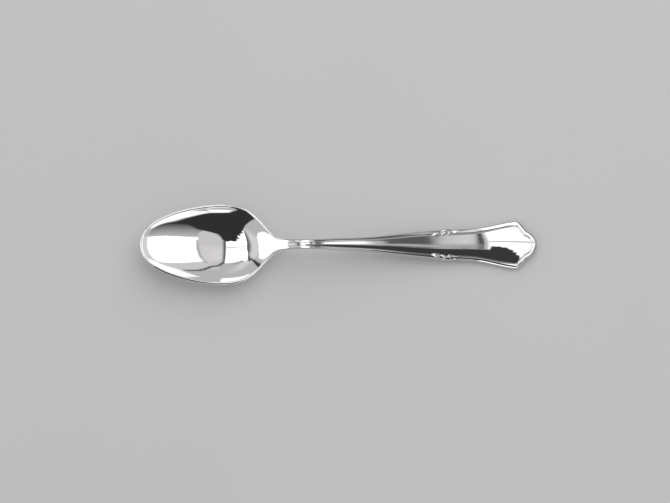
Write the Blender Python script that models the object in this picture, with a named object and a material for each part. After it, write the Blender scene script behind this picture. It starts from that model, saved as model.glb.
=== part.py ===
"""Demitasse spoon: a bowl with its neck and tang, and a struck handle soldered over the tang.

Stations run along the spoon from the tip of the bowl to the tip of the handle. The spoon lies
on its bowl and on the underside of the fan, with the middle of its length at the origin.
"""

import math

import bmesh
import bpy
import numpy as np
from mathutils import Matrix, Vector

MM = 0.001

# Bowl
BOWL_LENGTH = 35.6 * MM
BOWL_WIDTH = 21.2 * MM
BOWL_DEPTH = 6.28 * MM
BOWL_WALL = 1.0 * MM
RIM_WALL = 0.8 * MM
BOWL_TIP_RADIUS = 6.0 * MM
BOWL_TIP_SLOPE = 0.50
WALL_STEEPNESS = 0.3
HEEL_EASE = 0.4
HEEL_EASE_START = 0.70
# Share of the bowl's length, and there: share of the width, height of the floor, height of the
# rim above the floor, both as a share of the depth.
BOWL_SECTIONS = (
    (0.140, 0.643, 0.696, 0.244),
    (0.365, 0.908, 0.298, 0.554),
    (0.590, 1.000, 0.044, 0.762),
    (0.716, 0.966, 0.000, 0.790),
    (0.800, 0.861, 0.022, 0.745),
    (0.880, 0.644, 0.176, 0.548),
    (0.940, 0.422, 0.387, 0.308),
)
HEEL_FLARE = 1.6
HEEL_RISE = 0.637
HEEL_LIFT = 0.080

# Drop: the tongue in which the neck runs out on the back of the bowl
DROP_WIDTH = 6.0 * MM
DROP_START = 0.80
DROP_ROUNDNESS = 1.5

# Neck and joint
NECK_LENGTH = 2.4 * MM
NECK_WIDTH = 2.95 * MM
NECK_THICKNESS = 2.3 * MM
NECK_CROWN = 0.42 * MM
NECK_BLEND = 0.86
NECK_RISE = 0.512
SOLDER_GAP = 0.25 * MM
TANG_LENGTH = 2.6 * MM
TANG_ROOT = 1.0 * MM
TANG_WIDTH = 0.8 * MM
TANG_THICKNESS = 0.7 * MM
TANG_DEPTH = 0.43

# Handle, seen from above
HANDLE_LENGTH = 67.0 * MM
STEM_WIDTH = 3.2 * MM
WAIST_WIDTH = 8.25 * MM
SHOULDER_WIDTH = 12.66 * MM
SHOULDER_RADIUS = 2.1 * MM
SHOULDER_REACH = 3.3 * MM
SHOULDER_FIT = 0.9
FLARE_ANGLE = math.radians(11)
LOBE_RADIUS = 3.76 * MM
NOTCH_ANGLE = math.radians(70)
NOTCH_RADIUS = 0.4 * MM
STEM_STATION = 0.221
WAIST_STATION = 0.687
# Share of the handle's length, and there: how far the width has grown from stem to waist.
TAPER = ((0.339, 0.16), (0.458, 0.495), (0.582, 0.84))
# Share of the handle's length, and there: how far the width has grown from waist to shoulder.
FAN = ((0.775, 0.20), (0.854, 0.70))

# Handle, seen from the side
ARCH_HEIGHT = 8.4 * MM
TIP_LIFT = 0.51 * MM
TIP_SLOPE = 0.105
HANDLE_THICKNESS = 1.7 * MM
HANDLE_EDGE = 0.8 * MM
FAN_CROWN = 0.8 * MM
WAIST_CROWN = 0.2
# Share of the handle's length, and there: share of the arch's height above the lowest point.
SIDE_LINE = ((0.066, 1.0), (0.134, 0.975), (0.221, 0.810), (0.463, 0.387), (0.687, 0.108), (0.866, 0.0))

# Thread border and scrolls
THREAD_WIDTH = 1.35 * MM
STEM_THREAD_WIDTH = 0.90 * MM
THREAD_HEIGHT = 0.28 * MM
THREAD_FADE = 1.5 * MM
SCROLL_SWELL = 0.25 * MM
SCROLL_LENGTH = 3.4 * MM
SCROLL_STATIONS = (0.596, 0.662)
SCROLL_PEAK = 0.643

# Flats that the spoon rests on are ground this deep into the undersides
REST_CUT = 0.08 * MM

# Mesh
BOWL_RIBS = 46
NECK_OVERRUN = 3.0 * MM
BEND_RIBS = 24
FLARE_RIBS = 40
SHOULDER_RIBS = 7
NOTCH_RIBS = 4
LOBE_RIBS = 9
BOWL_LINES = 11
PANEL_LINES = 5
BACK_LINES = 8
RIM_LINES = 6
THREAD_LINES = (0.0, 0.3, 0.6, 0.85, 1.0)
FINE_STEPS = 40
SLOPE_STEP = 0.01 * MM
EDGE_PASSES = 3
RIB_FAN = 0.9
STEEPEST_RIB = 0.7
MERGE = 0.001 * MM
SHARP_ANGLE = math.radians(40)

JOINT = BOWL_LENGTH + NECK_LENGTH
TIP = JOINT + HANDLE_LENGTH
LOW_POINT = HANDLE_THICKNESS - REST_CUT
BOWL_FLOOR = BOWL_WALL - REST_CUT


def between(start, end, share):
    return start + (end - start) * share


def along_handle(share):
    return JOINT + share * HANDLE_LENGTH


def smooth_step(start, end, at):
    share = np.clip((at - start) / (end - start), 0.0, 1.0)
    return share * share * (3.0 - 2.0 * share)


def fair_curve(points, start_slope, end_slope):
    """A curve of continuous curvature through (station, value) points, as a function."""
    stations, values = np.array(points).T
    steps = np.diff(stations)
    rises = np.diff(values) / steps
    system = np.eye(len(stations))
    goal = np.zeros(len(stations))
    goal[0] = start_slope
    goal[-1] = end_slope
    for i in range(1, len(stations) - 1):
        before, after = 1.0 / steps[i - 1], 1.0 / steps[i]
        system[i, i - 1 : i + 2] = before, 2.0 * (before + after), after
        goal[i] = 3.0 * (rises[i - 1] * before + rises[i] * after)
    slopes = np.linalg.solve(system, goal)

    def curve(at):
        i = np.clip(np.searchsorted(stations, at) - 1, 0, len(steps) - 1)
        t = (at - stations[i]) / steps[i]
        from_start = values[i] * (1 + 2 * t) + slopes[i] * steps[i] * t
        from_end = values[i + 1] * (3 - 2 * t) + slopes[i + 1] * steps[i] * (t - 1)
        return from_start * (1 - t) ** 2 + from_end * t**2

    return curve


def fan_start():
    """Station and half-width at which the fan's long edge passes into the shoulder's round."""
    radius = shoulder_radius()
    station = shoulder_station() - radius * math.sin(FLARE_ANGLE)
    return station, SHOULDER_WIDTH / 2 - radius * (1 - math.cos(FLARE_ANGLE))


def shoulder_radius():
    return min(SHOULDER_RADIUS, SHOULDER_FIT * SHOULDER_REACH)


def notch():
    lobe_centre = TIP - LOBE_RADIUS
    return lobe_centre + LOBE_RADIUS * math.cos(NOTCH_ANGLE), LOBE_RADIUS * math.sin(NOTCH_ANGLE)


def shoulder_station():
    return notch()[0] - SHOULDER_REACH


def half_width_points():
    """Half-widths along the spoon, squared so that the bowl closes round at its tip."""
    points = [(0.0, 0.0)]
    points += [(share * BOWL_LENGTH, width * BOWL_WIDTH / 2) for share, width, _, _ in BOWL_SECTIONS]
    points.append((BOWL_LENGTH, HEEL_FLARE * NECK_WIDTH / 2))
    points.append((JOINT, NECK_WIDTH / 2))
    points.append((along_handle(STEM_STATION), STEM_WIDTH / 2))
    points += [(along_handle(share), between(STEM_WIDTH, WAIST_WIDTH, grown) / 2) for share, grown in TAPER]
    points.append((along_handle(WAIST_STATION), WAIST_WIDTH / 2))
    points += [(along_handle(share), between(WAIST_WIDTH, SHOULDER_WIDTH, grown) / 2) for share, grown in FAN]
    points.append(fan_start())
    points.append((TIP, SHOULDER_WIDTH / 2))
    return [(station, width**2) for station, width in points]


def centre_points():
    """Heights of the upper face along the middle of the spoon."""
    heel = BOWL_FLOOR + HEEL_RISE * BOWL_DEPTH
    points = [(0.0, BOWL_FLOOR + BOWL_DEPTH)]
    points += [(share * BOWL_LENGTH, BOWL_FLOOR + floor * BOWL_DEPTH) for share, _, floor, _ in BOWL_SECTIONS]
    points.append((BOWL_LENGTH, heel))
    points.append((JOINT, between(heel, ARCH_HEIGHT, NECK_RISE)))
    points += [(along_handle(share), between(LOW_POINT, ARCH_HEIGHT, height)) for share, height in SIDE_LINE]
    points.append((TIP, LOW_POINT + TIP_LIFT))
    return points


def lift_points():
    """How far the edge stands above the middle, which is less than nothing on the crowned handle."""
    points = [(0.0, 0.0)]
    points += [(share * BOWL_LENGTH, lift * BOWL_DEPTH) for share, _, _, lift in BOWL_SECTIONS]
    points.append((BOWL_LENGTH, HEEL_LIFT * BOWL_DEPTH))
    points.append((JOINT, -NECK_CROWN / 2))
    points.append((along_handle(SIDE_LINE[0][0]), -NECK_CROWN))
    points.append((along_handle(STEM_STATION), -NECK_CROWN))
    points.append((along_handle(WAIST_STATION), -between(NECK_CROWN, FAN_CROWN, WAIST_CROWN)))
    points.append((TIP, -FAN_CROWN))
    return points


half_width_squared = fair_curve(half_width_points(), 2 * BOWL_TIP_RADIUS, 0.0)
centre_height = fair_curve(centre_points(), -BOWL_TIP_SLOPE, TIP_SLOPE)
edge_lift = fair_curve(lift_points(), BOWL_TIP_SLOPE, 0.0)


def half_width(station):
    return np.sqrt(np.maximum(half_width_squared(station), 0.0))


def top_height(station, side):
    """Height of the plain upper face, without its thread, at a distance to the side of the middle."""
    ratio = side**2 / np.maximum(half_width_squared(station), SLOPE_STEP**2)
    steep = steepness(station)
    return centre_height(station) + edge_lift(station) * ratio * (1.0 - steep + steep * ratio)


def steepness(station):
    """How much steeper than a plain arc the wall stands at its rim; less than nothing at the heel."""
    onto_heel = smooth_step(HEEL_EASE_START * BOWL_LENGTH, BOWL_LENGTH, station)
    onto_joint = smooth_step(BOWL_LENGTH, JOINT, station)
    return between(WALL_STEEPNESS, -HEEL_EASE, onto_heel) * (1.0 - onto_joint)


def top_normal(station, side):
    along = top_height(station + SLOPE_STEP, side) - top_height(station - SLOPE_STEP, side)
    across = top_height(station, side + SLOPE_STEP) - top_height(station, side - SLOPE_STEP)
    return Vector((-along, -across, 2 * SLOPE_STEP)).normalized()


def onto_neck(station):
    return smooth_step(DROP_START * BOWL_LENGTH, BOWL_LENGTH, station)


def edge_thickness(station):
    return between(RIM_WALL, HANDLE_EDGE, onto_neck(station))


def spine_thickness(station):
    onto_fan = smooth_step(JOINT, along_handle(WAIST_STATION), station)
    return between(between(BOWL_WALL, NECK_THICKNESS, onto_neck(station)), HANDLE_THICKNESS, onto_fan)


def thickness(station, from_spine, rib_length):
    """Metal under the upper face: an even wall, with a drop along the spine from the bowl's heel on."""
    reach = min(rib_length, between(BOWL_WIDTH, DROP_WIDTH, onto_neck(station)) / 2)
    fullness = max(0.0, 1.0 - (from_spine / reach) ** 2) ** DROP_ROUNDNESS
    return between(edge_thickness(station), spine_thickness(station), fullness)


def thread_width(station):
    grown = smooth_step(along_handle(STEM_STATION), along_handle(WAIST_STATION), station)
    width = between(STEM_THREAD_WIDTH, THREAD_WIDTH, grown)
    for share in SCROLL_STATIONS:
        width += SCROLL_SWELL * swell(station, along_handle(share), SCROLL_LENGTH / 2)
    return width


def swell(station, middle, reach):
    return max(0.0, 1.0 - ((station - middle) / reach) ** 2) ** 2


def spaced(points, count):
    """The same line with its points spread evenly along it."""
    points = np.array(points)
    lengths = np.hypot(*np.diff(points, axis=0).T)
    travelled = np.concatenate([[0.0], np.cumsum(lengths)])
    marks = np.linspace(0.0, travelled[-1], count)
    return [(np.interp(m, travelled, points[:, 0]), np.interp(m, travelled, points[:, 1])) for m in marks]


def bowl_outline():
    """Half of the bowl's edge seen from above, from its tip to past the joint."""
    end = JOINT + NECK_OVERRUN
    stations = end * np.linspace(0.0, 1.0, FINE_STEPS * BOWL_RIBS) ** 2
    return spaced([(station, half_width(station)) for station in stations], BOWL_RIBS)


def long_edge(start, end, count):
    """Points along the side of the handle, bulging where the scrolls are struck."""
    line = []
    for station in np.linspace(start, end, FINE_STEPS * count):
        bump = SCROLL_SWELL * swell(station, along_handle(SCROLL_PEAK), SCROLL_LENGTH / 2)
        line.append((station, half_width(station) + bump))
    return spaced(line, count)


def handle_outline():
    """Half of the handle's edge seen from above, from before the joint to its tip."""
    bend_end = along_handle(STEM_STATION)
    outline = long_edge(JOINT - NECK_OVERRUN, bend_end, BEND_RIBS)
    outline += long_edge(bend_end, fan_start()[0], FLARE_RIBS)[1:]

    radius = shoulder_radius()
    centre = shoulder_station(), SHOULDER_WIDTH / 2 - radius
    to_notch = notch()[0] - centre[0], notch()[1] - centre[1]
    facing = math.atan2(to_notch[1], to_notch[0]) + math.acos(radius / math.hypot(*to_notch))
    outline += arc(centre, radius, math.pi / 2 + FLARE_ANGLE, facing, SHOULDER_RIBS)[1:]

    lobe = TIP - LOBE_RADIUS, 0.0
    reach = LOBE_RADIUS + NOTCH_RADIUS
    end = outline[-1]
    stands_off = (end[0] - lobe[0]) * math.cos(facing) + (end[1] - lobe[1]) * math.sin(facing)
    leaves = facing + math.acos((NOTCH_RADIUS + stands_off) / reach)
    hollow = lobe[0] + reach * math.cos(leaves), lobe[1] + reach * math.sin(leaves)
    outline += arc(hollow, NOTCH_RADIUS, facing + math.pi, leaves + math.pi, NOTCH_RIBS)
    outline += arc(lobe, LOBE_RADIUS, leaves, 0.0, LOBE_RIBS)[1:]
    return outline


def arc(centre, radius, start, end, count):
    turns = np.linspace(start, end, count)
    return [(centre[0] + radius * math.cos(turn), centre[1] + radius * math.sin(turn)) for turn in turns]


def outward_directions(outline):
    """Unit vectors that point out of the outline, seen from above."""
    mirrored = [(s, -y) for s, y in outline]
    start = [mirrored[1]] if abs(outline[0][1]) < SLOPE_STEP else [outline[0]]
    end = [mirrored[-2]] if abs(outline[-1][1]) < SLOPE_STEP else [outline[-1]]
    line = start + outline + end
    directions = []
    for before, here, after in zip(line, line[1:], line[2:]):
        first = Vector((here[0] - before[0], here[1] - before[1]))
        second = Vector((after[0] - here[0], after[1] - here[1]))
        along = (first.normalized() + second.normalized()).normalized()
        directions.append(Vector((-along.y, along.x, 0.0)))
    return directions


def spine_station(station):
    """Where the rib that starts on the outline at this station ends on the middle of the spoon."""
    bowl_reach = BOWL_TIP_RADIUS * np.exp(-RIB_FAN * station / BOWL_TIP_RADIUS)
    lobe_reach = LOBE_RADIUS * np.exp(-RIB_FAN * (TIP - station) / LOBE_RADIUS)
    return station + bowl_reach - lobe_reach


def rib_points(outline_point, outward, has_thread):
    """Points of one rib: over the upper face, round the edge and back under the lower face."""
    rim = Vector((*outline_point, 0.0))
    crest = 0.0
    if has_thread:
        crest = THREAD_HEIGHT * smooth_step(JOINT, JOINT + THREAD_FADE, outline_point[0])
    edge = rim - outward * RIM_WALL / 2
    metal = edge_thickness(outline_point[0])
    for _ in range(EDGE_PASSES):
        lean = top_normal(edge.x, edge.y).dot(outward)
        edge = rim - outward * (metal + crest - lean * (metal - crest)) / 2
    spine = Vector((spine_station(outline_point[0]), 0.0, 0.0))
    across = spine - edge

    if has_thread:
        lean = max(STEEPEST_RIB, -outward.dot(across.normalized()))
        span = (thread_width(edge.x) - (rim - edge).length) / lean / across.length
        shares = [line * span for line in THREAD_LINES]
        shares += list(np.linspace(span, 1.0, PANEL_LINES + 1)[1:])
    else:
        span = 1.0
        shares = list(np.linspace(0.0, 1.0, BOWL_LINES))

    top = []
    for share in shares:
        spot = edge + across * share
        raised = crest * max(0.0, 1.0 - (share / span) ** 2)
        base = Vector((spot.x, spot.y, top_height(spot.x, spot.y)))
        top.append(base + top_normal(spot.x, spot.y) * raised)

    back = []
    for share in np.linspace(0.0, 1.0, BACK_LINES if has_thread else BOWL_LINES):
        spot = edge + across * share
        base = Vector((spot.x, spot.y, top_height(spot.x, spot.y)))
        metal = thickness(spot.x, (spine - spot).length, across.length)
        back.append(base - top_normal(spot.x, spot.y) * metal)

    middle = (top[0] + back[0]) / 2
    up = top[0] - middle
    out = (outward - up * outward.dot(up) / up.length_squared).normalized() * up.length
    turns = np.linspace(0.0, math.pi, RIM_LINES + 1)[1:-1]
    round_edge = [middle + up * math.cos(turn) + out * math.sin(turn) for turn in turns]
    lower = rounded_back(round_edge[RIM_LINES // 2 - 1 :] + back, spine.x, outline_point[0])
    return top[::-1] + round_edge[: RIM_LINES // 2 - 1] + lower


def rounded_back(points, spine, station):
    """Turns the lower side of a rib, from its widest point to the spine, into an oval on neck and handle."""
    down = -top_normal(spine, 0.0)
    widest = points[0]
    lowest = points[-1]
    fall = down * (lowest - widest).dot(down)
    corner = lowest - fall
    share = smooth_step(NECK_BLEND * BOWL_LENGTH, BOWL_LENGTH, station)
    rounded = []
    for point, turn in zip(points, np.linspace(0.0, math.pi / 2, len(points))):
        oval = corner + (widest - corner) * math.cos(turn) + fall * math.sin(turn)
        rounded.append(point.lerp(oval, share))
    return rounded


def shell(outline, has_thread):
    """Skins the ribs, mirrors them over the middle and returns the open shell."""
    mesh = bmesh.new()
    rows = []
    for point, outward in zip(outline, outward_directions(outline)):
        points = rib_points(point, outward, has_thread)
        on_middle = abs(point[1]) < SLOPE_STEP
        for i in range(len(points)):
            if on_middle or i in (0, len(points) - 1):
                points[i].y = 0.0
        rows.append([mesh.verts.new(spot) for spot in points])
    for near, far in zip(rows, rows[1:]):
        for a, b, c, d in zip(near, near[1:], far[1:], far):
            mesh.faces.new((a, b, c, d))
    everything = mesh.verts[:] + mesh.edges[:] + mesh.faces[:]
    bmesh.ops.mirror(mesh, geom=everything, matrix=Matrix(), merge_dist=MERGE, axis="Y")
    return mesh


def cut_flat(mesh, spot, outward):
    """Cuts the shell along a plane, takes off what lies outward of it and closes it with a flat face."""
    everything = mesh.verts[:] + mesh.edges[:] + mesh.faces[:]
    cut = bmesh.ops.bisect_plane(
        mesh, geom=everything, dist=MERGE / 10, plane_co=spot, plane_no=outward, clear_outer=True
    )
    edges = [item for item in cut["geom_cut"] if isinstance(item, bmesh.types.BMEdge)]
    bmesh.ops.edgeloop_fill(mesh, edges=edges)


def silver(name):
    material = bpy.data.materials.new(name)
    material.use_nodes = True
    shader = material.node_tree.nodes["Principled BSDF"]
    shader.inputs["Base Color"].default_value = (0.95, 0.93, 0.9, 1.0)
    shader.inputs["Metallic"].default_value = 1.0
    shader.inputs["Roughness"].default_value = 0.08
    return material


def add_object(name, mesh, spoon):
    """Puts a finished mesh in the scene under the empty that carries the spoon."""
    bmesh.ops.recalc_face_normals(mesh, faces=mesh.faces)
    data = bpy.data.meshes.new(name)
    mesh.to_mesh(data)
    mesh.free()
    made = bpy.data.objects.new(name, data)
    made.parent = spoon
    bpy.context.scene.collection.objects.link(made)
    return made


def add_helper(name, mesh, spoon):
    helper = add_object(name, mesh, spoon)
    helper.hide_render = True
    helper.display_type = "WIRE"
    return helper


def tang_point(station):
    """Where the middle of the tang lies in the metal of neck and handle."""
    top = Vector((station, 0.0, centre_height(station)))
    return top - top_normal(station, 0.0) * spine_thickness(station) * TANG_DEPTH


def tang_block(clearance):
    """A block along the neck, from inside the bowl's neck into the handle, grown by the clearance."""
    start = tang_point(JOINT - TANG_ROOT)
    end = tang_point(JOINT + TANG_LENGTH)
    along = (end - start).normalized()
    length = (end - start).length + clearance
    size = (length, TANG_WIDTH + 2 * clearance, TANG_THICKNESS + 2 * clearance)
    mesh = bmesh.new()
    bmesh.ops.create_cube(mesh, size=1.0)
    bmesh.ops.scale(mesh, verts=mesh.verts, vec=size)
    turned = along.to_track_quat("X", "Z").to_matrix().to_4x4()
    turned.translation = start + along * length / 2
    bmesh.ops.transform(mesh, verts=mesh.verts, matrix=turned)
    return mesh


def joint_face(gap):
    """A spot past the joint by a gap, and the direction in which the neck runs on there."""
    normal = top_normal(JOINT, 0.0)
    along = Vector((normal.z, 0.0, -normal.x))
    return Vector((JOINT, 0.0, centre_height(JOINT))) + along * gap, along


def add_boolean(target, helper, operation):
    modifier = target.modifiers.new(helper.name, "BOOLEAN")
    modifier.object = helper
    modifier.operation = operation
    modifier.solver = "EXACT"


def finish(made, material):
    made.data.materials.append(material)
    made.data.polygons.foreach_set("use_smooth", [True] * len(made.data.polygons))
    made.data.set_sharp_from_angle(angle=SHARP_ANGLE)


def build_bowl(spoon):
    mesh = shell(bowl_outline(), has_thread=False)
    spot, along = joint_face(-SOLDER_GAP / 2)
    cut_flat(mesh, spot, along)
    cut_flat(mesh, (0.0, 0.0, 0.0), (0.0, 0.0, -1.0))
    bowl = add_object("bowl", mesh, spoon)
    finish(bowl, silver("bowl_silver"))
    add_boolean(bowl, add_helper("tang", tang_block(0.0), spoon), "UNION")


def build_handle(spoon):
    mesh = shell(handle_outline(), has_thread=True)
    spot, along = joint_face(SOLDER_GAP / 2)
    cut_flat(mesh, spot, -along)
    cut_flat(mesh, (0.0, 0.0, 0.0), (0.0, 0.0, -1.0))
    handle = add_object("handle", mesh, spoon)
    finish(handle, silver("handle_silver"))
    add_boolean(handle, add_helper("socket", tang_block(SOLDER_GAP), spoon), "DIFFERENCE")


def main():
    for old in list(bpy.data.objects):
        bpy.data.objects.remove(old, do_unlink=True)
    spoon = bpy.data.objects.new("spoon", None)
    spoon.location.x = -TIP / 2
    bpy.context.scene.collection.objects.link(spoon)
    build_bowl(spoon)
    build_handle(spoon)


main()
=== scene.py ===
"""Polished silver demitasse spoon on a pale table under soft studio light.

The two pieces of the spoon, the bowl with its neck and the struck handle, are lofted here once
more by the rule that gives the spoon its form, fine enough for a mirror finish. The thread border
and the scrolls of the handle are struck into its upper face, and both pieces are dressed in
polished silver.
"""

import functools
import logging
import math
from collections.abc import Callable, Sequence
from dataclasses import dataclass
from enum import Enum
from typing import ClassVar

import bmesh
import bpy
import numpy as np
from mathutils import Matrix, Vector


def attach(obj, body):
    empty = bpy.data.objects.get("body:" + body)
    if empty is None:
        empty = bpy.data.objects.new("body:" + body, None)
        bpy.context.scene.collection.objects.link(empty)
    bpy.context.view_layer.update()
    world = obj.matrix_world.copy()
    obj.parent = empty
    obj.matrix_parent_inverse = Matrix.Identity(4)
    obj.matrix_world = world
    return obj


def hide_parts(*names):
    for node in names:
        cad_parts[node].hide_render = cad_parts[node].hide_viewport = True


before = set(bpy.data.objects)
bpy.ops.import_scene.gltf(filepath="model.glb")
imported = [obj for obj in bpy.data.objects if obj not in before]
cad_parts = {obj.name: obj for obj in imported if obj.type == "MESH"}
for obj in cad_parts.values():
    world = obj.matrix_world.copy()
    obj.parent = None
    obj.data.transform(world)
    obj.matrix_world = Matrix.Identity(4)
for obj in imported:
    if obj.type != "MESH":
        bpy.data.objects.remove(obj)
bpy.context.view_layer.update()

log = logging.getLogger("demitasse_spoon")

MM = 0.001
BODY = "root"


def add_object(name: str, data: bpy.types.ID) -> bpy.types.Object:
    """Puts a new object in the scene.

    Args:
        name: Name of the object.
        data: Its mesh, light or camera.

    Returns:
        The object.
    """
    made = bpy.data.objects.new(name, data)
    bpy.context.scene.collection.objects.link(made)
    return made


def between(start: float, end: float, share: float) -> float:
    """Goes from start to end by a share of the way."""
    return start + (end - start) * share


def smooth_step(start: float, end: float, at: np.ndarray) -> np.ndarray:
    """Eases from 0 before start to 1 after end."""
    share = np.clip((at - start) / (end - start), 0.0, 1.0)
    return share * share * (3.0 - 2.0 * share)


class FairCurve:
    """A line of continuous curvature through given points, read at any station."""

    def __init__(
        self, points: Sequence[tuple[float, float]], start_slope: float, end_slope: float
    ) -> None:
        """Fits the line.

        Args:
            points: Stations and the values there.
            start_slope: Slope at the first point.
            end_slope: Slope at the last point.
        """
        self.stations, self.values = np.array(points).T
        self.steps = np.diff(self.stations)
        rises = np.diff(self.values) / self.steps
        system = np.eye(len(self.stations))
        goal = np.zeros(len(self.stations))
        goal[0] = start_slope
        goal[-1] = end_slope
        for i in range(1, len(self.stations) - 1):
            before, after = 1.0 / self.steps[i - 1], 1.0 / self.steps[i]
            system[i, i - 1 : i + 2] = before, 2.0 * (before + after), after
            goal[i] = 3.0 * (rises[i - 1] * before + rises[i] * after)
        self.slopes = np.linalg.solve(system, goal)

    def __call__(self, at: np.ndarray) -> np.ndarray:
        """Reads the line.

        Args:
            at: Stations to read it at.

        Returns:
            The values there.
        """
        i = np.clip(np.searchsorted(self.stations, at) - 1, 0, len(self.steps) - 1)
        t = (at - self.stations[i]) / self.steps[i]
        from_start = self.values[i] * (1 + 2 * t) + self.slopes[i] * self.steps[i] * t
        from_end = self.values[i + 1] * (3 - 2 * t) + self.slopes[i + 1] * self.steps[i] * (t - 1)
        return from_start * (1 - t) ** 2 + from_end * t**2


@dataclass
class SpoonLines:
    """The lines that give the spoon its form; stations run from the bowl's tip to the other end.

    bowl_sections holds shares of the bowl's length with, there, shares of its width, the floor's
    height and the rim's height over the floor. taper and fan hold shares of the handle's length
    with the growth of its width from stem to waist and from waist to shoulder. side_line holds
    shares of its length and height.
    """

    bowl_length: float = 35.6 * MM
    bowl_width: float = 21.175 * MM
    bowl_depth: float = 6.28 * MM
    bowl_wall: float = 1.0 * MM
    edge_wall: float = 0.8 * MM
    bowl_tip_radius: float = 6.0 * MM
    bowl_tip_slope: float = 0.50
    wall_steepness: float = 0.3
    heel_ease: float = 0.4
    heel_ease_start: float = 0.70
    bowl_sections: tuple[tuple[float, float, float, float], ...] = (
        (0.140, 0.643, 0.696, 0.244),
        (0.365, 0.908, 0.298, 0.554),
        (0.590, 1.000, 0.044, 0.762),
        (0.716, 0.966, 0.000, 0.790),
        (0.800, 0.861, 0.022, 0.745),
        (0.880, 0.644, 0.176, 0.548),
        (0.940, 0.422, 0.387, 0.308),
    )
    heel_flare: float = 1.6
    heel_rise: float = 0.637
    heel_lift: float = 0.080
    drop_width: float = 6.0 * MM
    drop_start: float = 0.80
    neck_length: float = 2.4 * MM
    neck_width: float = 2.95 * MM
    neck_thickness: float = 2.3 * MM
    neck_crown: float = 0.42 * MM
    neck_rise: float = 0.512
    neck_blend: float = 0.86
    handle_length: float = 67.0 * MM
    stem_width: float = 3.2 * MM
    waist_width: float = 8.25 * MM
    shoulder_width: float = 12.66 * MM
    shoulder_radius: float = 2.1 * MM
    shoulder_reach: float = 3.3 * MM
    flare_angle: float = math.radians(11)
    lobe_radius: float = 3.76 * MM
    notch_angle: float = math.radians(70)
    stem_station: float = 0.221
    waist_station: float = 0.687
    taper: tuple[tuple[float, float], ...] = ((0.339, 0.16), (0.458, 0.495), (0.582, 0.84))
    fan: tuple[tuple[float, float], ...] = ((0.775, 0.20), (0.854, 0.70))
    arch_height: float = 8.4 * MM
    tip_lift: float = 0.51 * MM
    tip_slope: float = 0.105
    handle_thickness: float = 1.7 * MM
    fan_crown: float = 0.8 * MM
    waist_crown: float = 0.2
    side_line: tuple[tuple[float, float], ...] = (
        (0.066, 1.0),
        (0.134, 0.975),
        (0.221, 0.810),
        (0.463, 0.387),
        (0.687, 0.108),
        (0.866, 0.0),
    )
    rest_cut: float = 0.08 * MM
    rib_fan: float = 0.9
    slope_step: float = 0.01 * MM

    def __post_init__(self) -> None:
        """Works out the joint, the tip and the three fair lines of the form."""
        self.joint = self.bowl_length + self.neck_length
        self.tip = self.joint + self.handle_length
        self.half_squared = FairCurve(self._half_width_points(), 2 * self.bowl_tip_radius, 0.0)
        self.centre = FairCurve(self._centre_points(), -self.bowl_tip_slope, self.tip_slope)
        self.lift = FairCurve(self._lift_points(), self.bowl_tip_slope, 0.0)

    def along_handle(self, share: float) -> float:
        """Station at a share of the handle's length."""
        return self.joint + share * self.handle_length

    def notch(self) -> tuple[float, float]:
        """Station and half-width of the notch between shoulder and end lobe."""
        along, side = (self.lobe_radius * turn(self.notch_angle) for turn in (math.cos, math.sin))
        return self.tip - self.lobe_radius + along, side

    def shoulder_station(self) -> float:
        """Station at which the fan is widest."""
        return self.notch()[0] - self.shoulder_reach

    def fan_start(self) -> tuple[float, float]:
        """Finds where the fan's long edge passes into the shoulder's round.

        Returns:
            The station and the half-width there.
        """
        station = self.shoulder_station() - self.shoulder_radius * math.sin(self.flare_angle)
        drawn_in = self.shoulder_radius * (1 - math.cos(self.flare_angle))
        return station, self.shoulder_width / 2 - drawn_in

    def _half_width_points(self) -> list[tuple[float, float]]:
        """Lists half-widths along the spoon, squared so that the bowl closes round at its tip.

        Returns:
            Stations and the squares there.
        """
        points = [(0.0, 0.0)]
        for share, width, _, _ in self.bowl_sections:
            points.append((share * self.bowl_length, width * self.bowl_width / 2))
        points.append((self.bowl_length, self.heel_flare * self.neck_width / 2))
        points.append((self.joint, self.neck_width / 2))
        points.append((self.along_handle(self.stem_station), self.stem_width / 2))
        for share, grown in self.taper:
            width = between(self.stem_width, self.waist_width, grown)
            points.append((self.along_handle(share), width / 2))
        points.append((self.along_handle(self.waist_station), self.waist_width / 2))
        for share, grown in self.fan:
            width = between(self.waist_width, self.shoulder_width, grown)
            points.append((self.along_handle(share), width / 2))
        points.append(self.fan_start())
        points.append((self.tip, self.shoulder_width / 2))
        return [(station, width**2) for station, width in points]

    def _centre_points(self) -> list[tuple[float, float]]:
        """Lists heights of the upper face along the middle of the spoon.

        Returns:
            Stations and the heights there.
        """
        floor = self.bowl_wall - self.rest_cut
        low = self.handle_thickness - self.rest_cut
        heel = floor + self.heel_rise * self.bowl_depth
        points = [(0.0, floor + self.bowl_depth)]
        for share, _, deep, _ in self.bowl_sections:
            points.append((share * self.bowl_length, floor + deep * self.bowl_depth))
        points.append((self.bowl_length, heel))
        points.append((self.joint, between(heel, self.arch_height, self.neck_rise)))
        for share, high in self.side_line:
            points.append((self.along_handle(share), between(low, self.arch_height, high)))
        points.append((self.tip, low + self.tip_lift))
        return points

    def _lift_points(self) -> list[tuple[float, float]]:
        """Lists how far the edge stands above the middle: less than nothing on the crowned handle.

        Returns:
            Stations and the lifts there.
        """
        points = [(0.0, 0.0)]
        for share, _, _, lift in self.bowl_sections:
            points.append((share * self.bowl_length, lift * self.bowl_depth))
        points.append((self.bowl_length, self.heel_lift * self.bowl_depth))
        points.append((self.joint, -self.neck_crown / 2))
        points.append((self.along_handle(self.side_line[0][0]), -self.neck_crown))
        points.append((self.along_handle(self.stem_station), -self.neck_crown))
        waist_crown = between(self.neck_crown, self.fan_crown, self.waist_crown)
        points.append((self.along_handle(self.waist_station), -waist_crown))
        points.append((self.tip, -self.fan_crown))
        return points

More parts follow.
